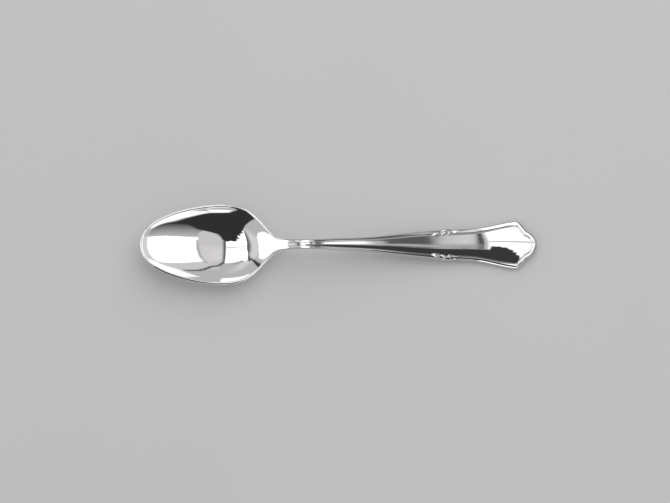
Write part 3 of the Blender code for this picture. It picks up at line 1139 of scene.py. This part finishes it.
@dataclass
class Handle:
    """The struck handle with its thread border and scrolls."""

    lines: SpoonLines
    loft: RibLoft
    thread_width: float = 1.35 * MM
    stem_thread_width: float = 0.90 * MM
    thread_height: float = 0.28 * MM
    stem_thread_height: float = 0.21 * MM
    thread_fade: float = 1.5 * MM
    gap_crest: float = 0.62
    thread_gap: tuple[float, float, float, float] = (0.588, 0.606, 0.655, 0.690)
    bump: float = 0.25 * MM
    bump_station: float = 0.643
    bump_length: float = 3.4 * MM
    notch_radius: float = 0.4 * MM
    rib_spacing: float = 0.3 * MM
    fine_spacing: float = 0.09 * MM
    end_spacing: float = 0.14 * MM
    panel_places: int = 34
    flank_places: int = 10
    edge_places: int = 12
    lower_places: int = 18
    panel_crowding: float = 1.5
    fine_run: tuple[float, float] = (0.555, 0.69)
    fine_ease: float = 2.0 * MM
    end_ease: float = 3.0 * MM
    edge_points: int = 6000
    arc_points: int = 300
    straight_points: int = 200
    stroke_points: int = 80
    joint_gap: float = 0.01 * MM
    strokes: tuple[Stroke, ...] = (
        Stroke(
            kind=StrokeKind.VOLUTE,
            start=(0.572, 0.95 * MM),
            end=(0.609, 0.92 * MM),
            half_width=0.62 * MM,
            height=0.40 * MM,
            bow=0.10 * MM,
        ),
        Stroke(
            kind=StrokeKind.LEAF,
            start=(0.623, 1.15 * MM),
            end=(0.645, 0.62 * MM),
            half_width=0.42 * MM,
            height=0.30 * MM,
        ),
        Stroke(
            kind=StrokeKind.PEARL,
            start=(0.6540, 1.0 * MM),
            end=(0.6570, 1.0 * MM),
            half_width=0.48 * MM,
            height=0.28 * MM,
        ),
    )

    def outline(self) -> np.ndarray:
        """Draws half of the handle's edge seen from above.

        Returns:
            Points from the joint to its tip.
        """
        lines = self.lines
        start = lines.joint + self.joint_gap / 2
        stations = np.linspace(start, lines.fan_start()[0], self.edge_points)
        off = (stations - lines.along_handle(self.bump_station)) / (self.bump_length / 2)
        swell = np.maximum(0.0, 1.0 - off**2) ** 2
        long_edge = np.stack([stations, lines.half_width(stations) + self.bump * swell], axis=1)

        radius = lines.shoulder_radius
        centre = np.array([lines.shoulder_station(), lines.shoulder_width / 2 - radius])
        to_notch = np.array(lines.notch()) - centre
        first = math.pi / 2 + lines.flare_angle
        last = math.atan2(to_notch[1], to_notch[0]) + math.acos(radius / np.hypot(*to_notch))
        shoulder = self.arc(centre, radius, first, last)

        lobe = np.array([lines.tip - lines.lobe_radius, 0.0])
        facing = np.array([math.cos(last), math.sin(last)])
        reach = lines.lobe_radius + self.notch_radius
        leaves = last + math.acos((self.notch_radius + np.dot(shoulder[-1] - lobe, facing)) / reach)
        hollow = lobe + reach * np.array([math.cos(leaves), math.sin(leaves)])
        notch = self.arc(hollow, self.notch_radius, last + math.pi, leaves + math.pi)
        end = self.arc(lobe, lines.lobe_radius, leaves, 0.0)
        straight = np.linspace(shoulder[-1], notch[0], self.straight_points)
        run = np.vstack([long_edge, shoulder[1:], straight[1:], notch[1:], end[1:]])
        return spaced(run, self.spacing)

    def arc(self, centre: np.ndarray, radius: float, start: float, end: float) -> np.ndarray:
        """Points close together on part of a circle."""
        turns = np.linspace(start, end, self.arc_points)
        return centre + radius * np.stack([np.cos(turns), np.sin(turns)], axis=1)

    def spacing(self, station: np.ndarray) -> np.ndarray:
        """Spaces the ribs, finely at the scrolls and round the end.

        Args:
            station: Stations along the spoon.

        Returns:
            The distance between ribs there.
        """
        lines = self.lines
        first, last = (lines.along_handle(share) for share in self.fine_run)
        into_scrolls = smooth_step(first - self.fine_ease, first, station)
        at_scrolls = into_scrolls - smooth_step(last, last + self.fine_ease, station)
        shoulder = lines.shoulder_station()
        at_end = smooth_step(shoulder - self.end_ease, shoulder, station)
        plain = between(self.rib_spacing, self.end_spacing, at_end)
        return between(plain, self.fine_spacing, at_scrolls)

    def crest(self, station: np.ndarray) -> np.ndarray:
        """Gives the height of the thread, which fades in at the neck and sinks at the scrolls.

        Args:
            station: Stations along the spoon.

        Returns:
            The heights there.
        """
        lines = self.lines
        fade = smooth_step(lines.joint, lines.joint + self.thread_fade, station)
        stop, low_from, low_to, start = (lines.along_handle(share) for share in self.thread_gap)
        sunk = smooth_step(stop, low_from, station) - smooth_step(low_to, start, station)
        full = between(self.stem_thread_height, self.thread_height, self.onto_waist(station))
        return full * fade * (1.0 - (1.0 - self.gap_crest) * sunk)

    def thread(self, station: np.ndarray) -> np.ndarray:
        """Width of the thread along the handle."""
        return between(self.stem_thread_width, self.thread_width, self.onto_waist(station))

    def onto_waist(self, station: np.ndarray) -> np.ndarray:
        """Eases from 0 on the stem to 1 at the waist.

        Args:
            station: Stations along the spoon.

        Returns:
            Values from 0 to 1.
        """
        lines = self.lines
        ends = (lines.along_handle(share) for share in (lines.stem_station, lines.waist_station))
        return smooth_step(*ends, station)

    def build(self, material: bpy.types.Material) -> bpy.types.Object:
        """Lofts the handle and strikes its border.

        Args:
            material: Its material.

        Returns:
            The piece.
        """
        outline = self.outline()
        stations = outline[:, 0]
        crest, thread = self.crest(stations), self.thread(stations)
        ribs = self.loft.rib_guide(outline, crest, thread, joint_end=0)
        panel = 1.0 - np.linspace(1.0, 0.0, self.panel_places) ** self.panel_crowding
        places = np.concatenate(
            [
                panel / 2,
                np.linspace(0.5, 1.0, self.flank_places)[1:],
                np.linspace(1.0, 1.5, self.edge_places // 2)[1:],
                np.linspace(1.5, 3.0, self.lower_places)[1:],
            ]
        )
        paths = [stroke.path(self.lines, self.stroke_points) for stroke in self.strokes]
        return self.loft.loft("spoon_handle", ribs, places, np.vstack(paths), material)


class ShadeGroup(Enum):
    """Shader node groups that several materials share."""

    HAIRLINES = "hairlines"
    HANDLING = "handling"
    PATINA = "patina"


class ShadeKit:
    """Builds the shared shader node groups once and places them in materials."""

    NOISE_DETAIL = 4.0
    GRAIN_DETAIL = 1.0
    CROSSING = (-0.21, 0.34)
    SCRATCH_FROM, SCRATCH_GAIN = 0.66, 9.0
    SMUDGE_FROM, SMUDGE_GAIN = 0.45, 3.0
    LEAST_PATINA, BROKEN_PATINA = 0.6, 0.8

    def __init__(self) -> None:
        """Draws all groups."""
        self.groups = {
            ShadeGroup.HAIRLINES: self._draw_hairlines(),
            ShadeGroup.HANDLING: self._draw_handling(),
            ShadeGroup.PATINA: self._draw_patina(),
        }

    def _draw_hairlines(self) -> bpy.types.NodeTree:
        """Draws fine scratches of polishing and use, in two directions that cross at a small angle.

        Returns:
            The group.
        """
        inputs = {"Place": "Vector", "Lines per mm": "Float", "Stretch": "Float"}
        sketch, given = new_tree("hairlines", "ShaderNodeTree", inputs, {"Mask": "Float"})
        lines = sketch.out(given, "Lines per mm") * (1.0 / MM)
        masks = []
        for turn in self.CROSSING:
            wires = {"Vector": given.outputs["Place"], "Angle": turn}
            turned = sketch.node("ShaderNodeVectorRotate", wires, rotation_type="Z_AXIS")
            x, y, z = sketch.out(turned).parts()
            stretched = sketch.xyz(x * lines / sketch.out(given, "Stretch"), y * lines, z * lines)
            grain = sketch.noise(stretched, self.GRAIN_DETAIL)
            masks.append(((grain - self.SCRATCH_FROM) * self.SCRATCH_GAIN).clamped())
        sketch.node("NodeGroupOutput", {"Mask": sketch.math("MAXIMUM", *masks)})
        return sketch.tree

    def _draw_handling(self) -> bpy.types.NodeTree:
        """Draws soft smudges where the polish has dulled a little.

        Returns:
            The group.
        """
        inputs = {"Place": "Vector", "Smudge Size": "Float"}
        sketch, given = new_tree("handling", "ShaderNodeTree", inputs, {"Mask": "Float"})
        spot = sketch.out(given, "Place") * (1.0 / sketch.out(given, "Smudge Size"))
        cloud = sketch.noise(spot, self.NOISE_DETAIL)
        mask = ((cloud - self.SMUDGE_FROM) * self.SMUDGE_GAIN).clamped()
        sketch.node("NodeGroupOutput", {"Mask": mask})
        return sketch.tree

    def _draw_patina(self) -> bpy.types.NodeTree:
        """Draws darker metal where the cloth doesn't reach, patina and painted shade, over a faint
        toning of the piece.

        Returns:
            The group.
        """
        inputs = {"Place": "Vector", "Metal": "Color", "Tarnish": "Color"}
        inputs |= dict.fromkeys(("Recess", "Amount", "Tone", "Tone Size"), "Float")
        outputs = {"Colour": "Color", "Mask": "Float"}
        sketch, given = new_tree("patina", "ShaderNodeTree", inputs, outputs)
        place = sketch.out(given, "Place")
        broken = sketch.noise(place * (1.0 / MM), self.NOISE_DETAIL)
        share = sketch.out(given, "Recess") * sketch.out(given, "Amount")
        toning = sketch.noise(place * (1.0 / sketch.out(given, "Tone Size")), self.NOISE_DETAIL)
        tone = toning * sketch.out(given, "Tone")
        mask = (share * (self.LEAST_PATINA + broken * self.BROKEN_PATINA) + tone).clamped()
        # The recesses turn toward the tarnish colour: patina, and painted shade too.
        colour = sketch.blend(mask, given.outputs["Metal"], given.outputs["Tarnish"])
        sketch.node("NodeGroupOutput", {"Colour": colour, "Mask": mask})
        return sketch.tree

    def place(self, sketch: Sketch, group: ShadeGroup, inputs: dict[str, object]) -> bpy.types.Node:
        """Puts a group in a material.

        Args:
            sketch: The material's tree.
            group: Which group.
            inputs: Its values.

        Returns:
            The group's node.
        """
        return sketch.node("ShaderNodeGroup", inputs, node_tree=self.groups[group])


@dataclass(frozen=True)
class SilverFinish:
    """Polished silver with hairlines, dulled smudges and a little patina with painted shade in its
    recesses.
    """

    name: str
    kit: ShadeKit
    colour: tuple[float, float, float, float] = (0.970, 0.948, 0.960, 1.0)
    # The darker colour of the recesses: tarnish, and painted shade too.
    tarnish: tuple[float, float, float, float] = (0.36, 0.33, 0.31, 1.0)
    patina: float = 0.0
    tone: float = 0.05
    tone_size: float = 7.0 * MM
    polish: float = 0.015
    smudge_roughness: float = 0.015
    hairline_roughness: float = 0.03
    patina_roughness: float = 0.2
    smudge_size: float = 9.0 * MM
    lines_per_mm: float = 5.0
    stretch: float = 60.0
    hairline_depth: float = 0.0004 * MM

    def material(self) -> bpy.types.Material:
        """Makes the material.

        Returns:
            The material, with its nodes.
        """
        made, sketch, shader = new_material(self.name)
        shader.inputs["Metallic"].default_value = 1.0
        place = sketch.node("ShaderNodeTexCoord").outputs["Object"]
        recess = sketch.node("ShaderNodeAttribute", attribute_name="recess").outputs["Fac"]
        wires = {"Place": place, "Lines per mm": self.lines_per_mm, "Stretch": self.stretch}
        lines = self.kit.place(sketch, ShadeGroup.HAIRLINES, wires)
        wires = {"Place": place, "Smudge Size": self.smudge_size}
        smudges = self.kit.place(sketch, ShadeGroup.HANDLING, wires)
        wires = {"Place": place, "Recess": recess, "Metal": self.colour, "Tarnish": self.tarnish}
        wires |= {"Amount": self.patina, "Tone": self.tone, "Tone Size": self.tone_size}
        patina = self.kit.place(sketch, ShadeGroup.PATINA, wires)
        scratch = sketch.out(lines, "Mask")
        roughness = (
            self.polish
            + sketch.out(smudges, "Mask") * self.smudge_roughness
            + scratch * self.hairline_roughness
            + sketch.out(patina, "Mask") * self.patina_roughness
        )
        wires = {"Height": scratch, "Distance": self.hairline_depth, "Strength": 1.0}
        scratched = sketch.node("ShaderNodeBump", wires, invert=True)
        # The base colour darkens in the recesses: patina and painted shade.
        sketch.feed(shader.inputs["Base Color"], sketch.out(patina, "Colour"))
        sketch.feed(shader.inputs["Roughness"], roughness)
        sketch.feed(shader.inputs["Normal"], sketch.out(scratched, "Normal"))
        return made


@dataclass(frozen=True)
class TableFinish:
    """Pale matte board with a faint tooth."""

    name: str = "table_top"
    colour: tuple[float, float, float, float] = (0.61, 0.61, 0.61, 1.0)
    shade: tuple[float, float, float, float] = (0.59, 0.59, 0.59, 1.0)
    roughness: float = 0.85
    tooth: float = 0.25 * MM
    tooth_depth: float = 0.01 * MM
    cloud: float = 60.0 * MM
    detail: float = 2.0

    def material(self) -> bpy.types.Material:
        """Makes the material.

        Returns:
            The material, with its nodes.
        """
        made, sketch, shader = new_material(self.name)
        shader.inputs["Roughness"].default_value = self.roughness
        place = sketch.out(sketch.node("ShaderNodeTexCoord"), "Object")
        cloud = sketch.noise(place * (1.0 / self.cloud), self.detail)
        grain = sketch.noise(place * (1.0 / self.tooth), self.detail)
        bump = sketch.node("ShaderNodeBump", {"Height": grain, "Distance": self.tooth_depth})
        sketch.feed(shader.inputs["Base Color"], sketch.blend(cloud, self.colour, self.shade))
        sketch.feed(shader.inputs["Normal"], sketch.out(bump, "Normal"))
        return made


SOFT_EDGE = 0.8


@dataclass(frozen=True)
class Panel:
    """A panel of the light tent as the spoon sees it.

    Its corners are angles from straight up, in degrees, to the right of the table and to the back
    of it. They go round against the clock for somebody who looks down on the table. The level is
    the panel's brightness, and soft is the width of its blurred edge, in degrees too.
    """

    DISC_CORNERS: ClassVar[int] = 10

    corners: tuple[tuple[float, float], ...]
    level: float
    soft: float = SOFT_EDGE

    @classmethod
    def square(
        cls,
        across: tuple[float, float],
        along: tuple[float, float],
        level: float,
        soft: float = SOFT_EDGE,
    ) -> "Panel":
        """A panel with its edges along and across the table."""
        (left, right), (front, back) = across, along
        return cls(((left, front), (right, front), (right, back), (left, back)), level, soft)

    @classmethod
    def band(
        cls,
        line: Sequence[tuple[float, float]],
        width: float,
        level: float,
        soft: float = SOFT_EDGE,
    ) -> "tuple[Panel, ...]":
        """Lays panels in a row that make a band along a line.

        Args:
            line: Points of the line.
            width: Width of the band.
            level: Brightness.
            soft: Width of the blurred edge.

        Returns:
            The panels.
        """
        made = []
        for start, end in zip(line, line[1:]):
            along = unit(np.subtract(end, start))
            out = np.array([along[1], -along[0]]) * width / 2
            corners = (start + out, end + out, end - out, start - out)
            made.append(cls(tuple(map(tuple, corners)), level, soft))
        return tuple(made)

    @classmethod
    def disc(
        cls, centre: tuple[float, float], radius: float, level: float, soft: float = SOFT_EDGE
    ) -> "Panel":
        """Makes a panel that is nearly round.

        Args:
            centre: Its middle.
            radius: Its radius.
            level: Brightness.
            soft: Width of the blurred edge.

        Returns:
            The panel.
        """
        turns = np.linspace(0.0, 2 * math.pi, cls.DISC_CORNERS, endpoint=False)
        around = centre + radius * np.stack([np.cos(turns), np.sin(turns)], axis=1)
        return cls(tuple(map(tuple, around)), level, soft)

    def cover(self, sketch: Sketch, direction: Field) -> Field:
        """1 in front of the panel and 0 beside it, with a soft edge.

        Args:
            sketch: Tree to draw in.
            direction: Direction from the spoon, of length one.

        Returns:
            The share of the panel in what is seen there.
        """
        angles = np.radians(self.corners)
        up = np.sign(np.cos(angles[:, 0]))
        rays = unit(np.column_stack([np.tan(angles) * up[:, None], up]))
        covers = []
        for first, second in zip(rays, np.roll(rays, -1, axis=0)):
            inward = unit(np.cross(first, second))
            inside = sketch.vector_math("DOT_PRODUCT", direction, inward, key="Value")
            covers.append((inside * (1.0 / math.radians(self.soft)) + 0.5).clamped())
        return functools.reduce(functools.partial(sketch.math, "MINIMUM"), covers)


@dataclass(frozen=True)
class LightTent:
    """The tent of panels round one piece: what its silver mirrors."""

    name: str
    panels: tuple[Panel, ...]
    level: float
    radius: float
    rings: int = 16

    def hang(self, piece: bpy.types.Object) -> None:
        """Hangs the tent so that it lights the piece alone, and that no silver mirrors the piece.

        Args:
            piece: The piece.
        """
        bpy.ops.mesh.primitive_uv_sphere_add(
            segments=2 * self.rings, ring_count=self.rings, radius=self.radius
        )
        tent = bpy.context.object
        tent.name = self.name
        tent.data.materials.append(self.material())
        lit = bpy.data.collections.new(self.name)
        lit.objects.link(piece)
        piece.visible_glossy = False
        tent.light_linking.receiver_collection = lit
        tent.visible_camera = False
        tent.visible_diffuse = False
        tent.visible_shadow = False

    def material(self) -> bpy.types.Material:
        """Makes the tent's material, which shines and lets through what is behind it.

        Returns:
            The material, with its nodes.
        """
        made, sketch, shader = new_material(self.name)
        made.cycles.emission_sampling = "NONE"
        sketch.tree.nodes.remove(shader)
        place = sketch.out(sketch.node("ShaderNodeTexCoord"), "Object")
        direction = sketch.vector_math("NORMALIZE", place)
        light = self.level
        for panel in self.panels:
            light = sketch.mix(panel.cover(sketch, direction), light, panel.level)
        glow = sketch.node("ShaderNodeEmission", {"Strength": light})
        clear = sketch.node("ShaderNodeBsdfTransparent")
        both = sketch.node("ShaderNodeAddShader", {0: glow.outputs[0], 1: clear.outputs[0]})
        sketch.feed(sketch.tree.nodes["Material Output"].inputs["Surface"], both.outputs[0])
        return made


# The panels of the tents. Each one covers those before it.
WALL = (
    Panel.square((-72, -8), (-42, 66), 0.66, 14),
    Panel(((-23, -34), (-6, -34), (-6, 43), (-34, 43), (-31, 20)), 0.12, 12),
    *Panel.band(((-34, 38), (-41, 48.5), (-49, 54.5), (-55, 58.6)), 4.5, 0.05, 3.5),
    Panel(
        ((-119.8, -128.7), (-69.4, -62.2), (-57, -39), (-53.5, -12), (-57, 30), (-66, 53))
        + ((-80.9, 79.1), (-121.6, 125.5)),
        1.2,
        1.6,
    ),
)

ROOF = (
    Panel(
        ((-16.5, 12), (-16.5, 41), (-27, 47.3), (-36.5, 50), (-36, 47), (-26.5, 31), (-20.5, 19)),
        1.3,
        1.2,
    ),
    Panel.square((-16.5, 6.9), (-34, 40.5), 1.3),
    *Panel.band(((6.9, 7.2), (-17.5, 4)), 1.9, 0.55),
)

BOWL_PANELS = (
    *WALL,
    Panel(((-53.6, 57.9), (-69.2, 70.6), (-70, 69.8), (-55.1, 56.8)), 0.05, 2),
    Panel(
        ((-67.8, 69.3), (-102.9, 102.4), (-102.2, 103.1), (-81.7, 81.4), (-68.7, 68.4)), 0.05, 1.2
    ),
    Panel(((12.2, 83.1), (176.8, 115), (-131.3, 118.8), (-103, 98.2)), 1.2, 1.6),
    Panel.square((8, 42), (-70, -12), 0.03, 3),
    Panel.square((12, 62), (-27, 14), 0.5, 26),
    Panel.square((14, 42), (30, 56), 0.6, 5),
    Panel.square((40, 58), (-16, 40), 0.66, 2),
    Panel(((22, -11.5), (41, -12), (40, 38.5), (34, 38), (22, 34)), 1.35),
    Panel(
        ((6, -5), (15, -20), (22, -26), (25, -20), (25.4, 8), (24.3, 24), (22.2, 34))
        + ((18, 47), (6, 43)),
        0.58,
    ),
    Panel.square((4, 22), (6, 34), 0.68, 12),
    *Panel.band(((25.6, -6), (25.4, 8), (24.3, 24), (21.4, 38)), 1, 0.3, 1.2),
    *Panel.band(
        ((7.8, 38), (12, 45.5), (19, 48), (27, 56), (31, 58.5), (37.5, 58.5)), 3.2, 0.07, 2.4
    ),
    Panel.square((6, 8.8), (-10, 41), 0.09, 2),
    *ROOF,
    Panel(((42, 40), (72, 40), (72, 77), (46.5, 77), (39.5, 57), (40.5, 46)), 1.25, 2),
    Panel(((30, -76), (60, -76), (72, -40), (42.5, -38), (38.3, -47), (35.8, -60)), 1.25, 3),
    Panel(((-61, -84.4), (-31.8, -83.7), (44.7, -80.9), (27, -72.8), (-44.4, -79.8)), 1.2, 1.6),
    Panel(((-1.5, -19), (-45, -60), (-20, -78), (8, -74), (8, -19)), 0.03, 1.6),
    Panel(((-40, -56), (-104, -103.5), (-117, -100.5), (-15, -79)), 0.03, 1.6),
    Panel(((3, -6), (1, -8), (-1.5, -20), (12.2, -20), (9, -8), (6.5, -6)), 0.03, 1.2),
    Panel(
        ((2, -18), (2, -74), (26, -72.5), (34, -66), (36.5, -56), (36, -47))
        + ((26, -28), (12.2, -18.5)),
        0.03,
        1.6,
    ),
    Panel.disc((2.6, -6.6), 1.5, 0.03, 0.7),
    Panel.disc((6, -6.2), 1.6, 0.03, 0.7),
    Panel.disc((8.6, -9.4), 1.3, 0.03, 0.7),
    Panel.disc((-0.6, -13), 1.5, 0.03, 0.7),
    Panel.disc((-3, -20.5), 2.2, 0.03, 0.7),
    Panel.disc((-6.5, -25.5), 2, 0.03, 0.7),
    Panel.disc((-10.5, -29), 2.6, 0.03, 0.7),
)

HANDLE_PANELS = (
    *WALL,
    Panel.square((4, 40), (30, 58), 0.07, 6),
    Panel.square((24, 60), (-70, -24), 0.46, 4),
    Panel.square((7.6, 19.2), (-34, 34), 0.1),
    Panel.square((10.2, 14.9), (-34, 34), 0.5, 1.3),
    Panel.square((10.6, 14.2), (-34, 34), 0.62, 2.4),
    Panel.square((9, 15.5), (-9, 2), 0.3, 8),
    Panel.square((6.8, 8.1), (-6, 40), 0.52, 0.6),
    Panel.square((-16.5, 6.9), (38, 80), 1.2),
    Panel.square((6.9, 14.2), (24, 75), 0.75, 3),
    *ROOF,
    Panel.square((19, 20.6), (2, 19), 0.46),
    Panel(((20.4, 4.2), (30, 4.2), (30, 34), (23, 34), (20.6, 20)), 1.15, 1.4),
    *Panel.band(
        ((15.2, -1.5), (16, 1.5), (17, 1), (17.5, -1), (18.2, 2), (19.4, 4.5)), 3.4, 0.42, 1.4
    ),
    Panel.square((-16.5, 6.9), (-64, -24), 1.2),
    Panel(((-4.4, -10), (-5, -26), (26, -26), (26, -3.5), (15, -5), (9, -6)), 0.04),
    Panel(
        ((-4.2, -11), (6.9, -8), (6.3, -2.5), (5.2, 0), (2.6, -0.3), (-1, -2.8), (-3.5, -8.6)),
        0.04,
    ),
    Panel.disc((5.4, -0.7), 1.1, 0.045, 0.6),
    Panel.disc((3.4, -0.5), 0.9, 0.045, 0.6),
    Panel.disc((0.9, -2), 1.3, 0.045, 0.6),
    Panel.disc((-1.4, -4.6), 1.2, 0.045, 0.6),
    Panel.disc((-2.6, -7.2), 1.1, 0.045, 0.6),
    Panel.disc((7.2, -6), 1.1, 0.045, 0.6),
)


@dataclass
class Studio:
    """Pale table, soft light and the camera."""

    table: TableFinish
    sky_level: float = 0.575
    sky_colour: tuple[float, float, float, float] = (1.0, 1.0, 1.0, 1.0)
    table_size: float = 6.0
    table_drop: float = 0.05 * MM
    key_size: float = 1.8
    key_place: tuple[float, float, float] = (0.3, 0.85, 1.0)
    key_power: float = 11.0
    aim: tuple[float, float, float] = (-1.0 * MM, -1.8 * MM, 4.0 * MM)
    elevation: float = math.radians(88)
    distance: float = 1.5
    frame_width: float = 177.3 * MM
    sensor: float = 36.0
    clip_start: float = 10.0 * MM

    def build(self) -> None:
        """Sets up the table, the light and the camera."""
        spot = (0.0, 0.0, -self.table_drop)
        bpy.ops.mesh.primitive_plane_add(size=self.table_size, location=spot)
        table = bpy.context.object
        table.name = "table"
        table.data.materials.append(self.table.material())
        table.visible_glossy = False
        bpy.context.scene.view_settings.view_transform = "Standard"
        self.sky()
        self.key()
        self.camera()

    def sky(self) -> None:
        """Gives even light from all round, which the silver doesn't mirror."""
        world = bpy.data.worlds.new("even_light")
        bpy.context.scene.world = world
        world.use_nodes = True
        background = world.node_tree.nodes["Background"]
        background.inputs["Strength"].default_value = self.sky_level
        background.inputs["Color"].default_value = self.sky_colour
        world.cycles_visibility.glossy = False

    def key(self) -> None:
        """Hangs a wide soft light over the table, which the silver doesn't mirror."""
        data = bpy.data.lights.new("key", "AREA")
        data.shape = "DISK"
        data.size = self.key_size
        data.energy = self.key_power
        key = add_object("key", data)
        key.location = self.key_place
        key.rotation_euler = Vector(self.key_place).to_track_quat("Z", "Y").to_euler()
        key.visible_glossy = False
        key.visible_camera = False

    def camera(self) -> None:
        """Puts the camera over the spoon."""
        data = bpy.data.cameras.new("camera")
        data.sensor_width = self.sensor
        data.lens = self.sensor * self.distance / self.frame_width
        data.clip_start = self.clip_start
        camera = add_object("camera", data)
        away = Vector((0.0, -math.cos(self.elevation), math.sin(self.elevation)))
        camera.location = Vector(self.aim) + away * self.distance
        camera.rotation_euler = away.to_track_quat("Z", "Y").to_euler()
        bpy.context.scene.camera = camera


def hand_over(piece: bpy.types.Object, node: str) -> None:
    """Lets a piece stand for a node of the spoon and reports it.

    Args:
        piece: The piece.
        node: Node of the spoon.
    """
    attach(piece, BODY)
    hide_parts(node)
    log.info("%s stands for %s with %d faces", piece.name, node, len(piece.data.polygons))


def main() -> None:
    """Builds the spoon and its studio."""
    logging.basicConfig(level=logging.INFO, format="%(name)s: %(message)s")
    lines = SpoonLines()
    loft = RibLoft(lines)
    kit = ShadeKit()
    bowl_finish = SilverFinish("bowl_silver_polished", kit)
    bowl = Bowl(lines, loft).build(bowl_finish.material())
    hand_over(bowl, "bowl")
    # The handle's recesses darken: patina and painted shade.
    handle_finish = SilverFinish("handle_silver_polished", kit, patina=0.8)
    handle = Handle(lines, loft).build(handle_finish.material())
    hand_over(handle, "handle")
    loft.table.discard()
    Studio(TableFinish()).build()
    LightTent("bowl_tent", BOWL_PANELS, level=0.48, radius=10.0).hang(bowl)
    LightTent("handle_tent", HANDLE_PANELS, level=0.32, radius=11.0).hang(handle)


if __name__ == "__main__":
    main()
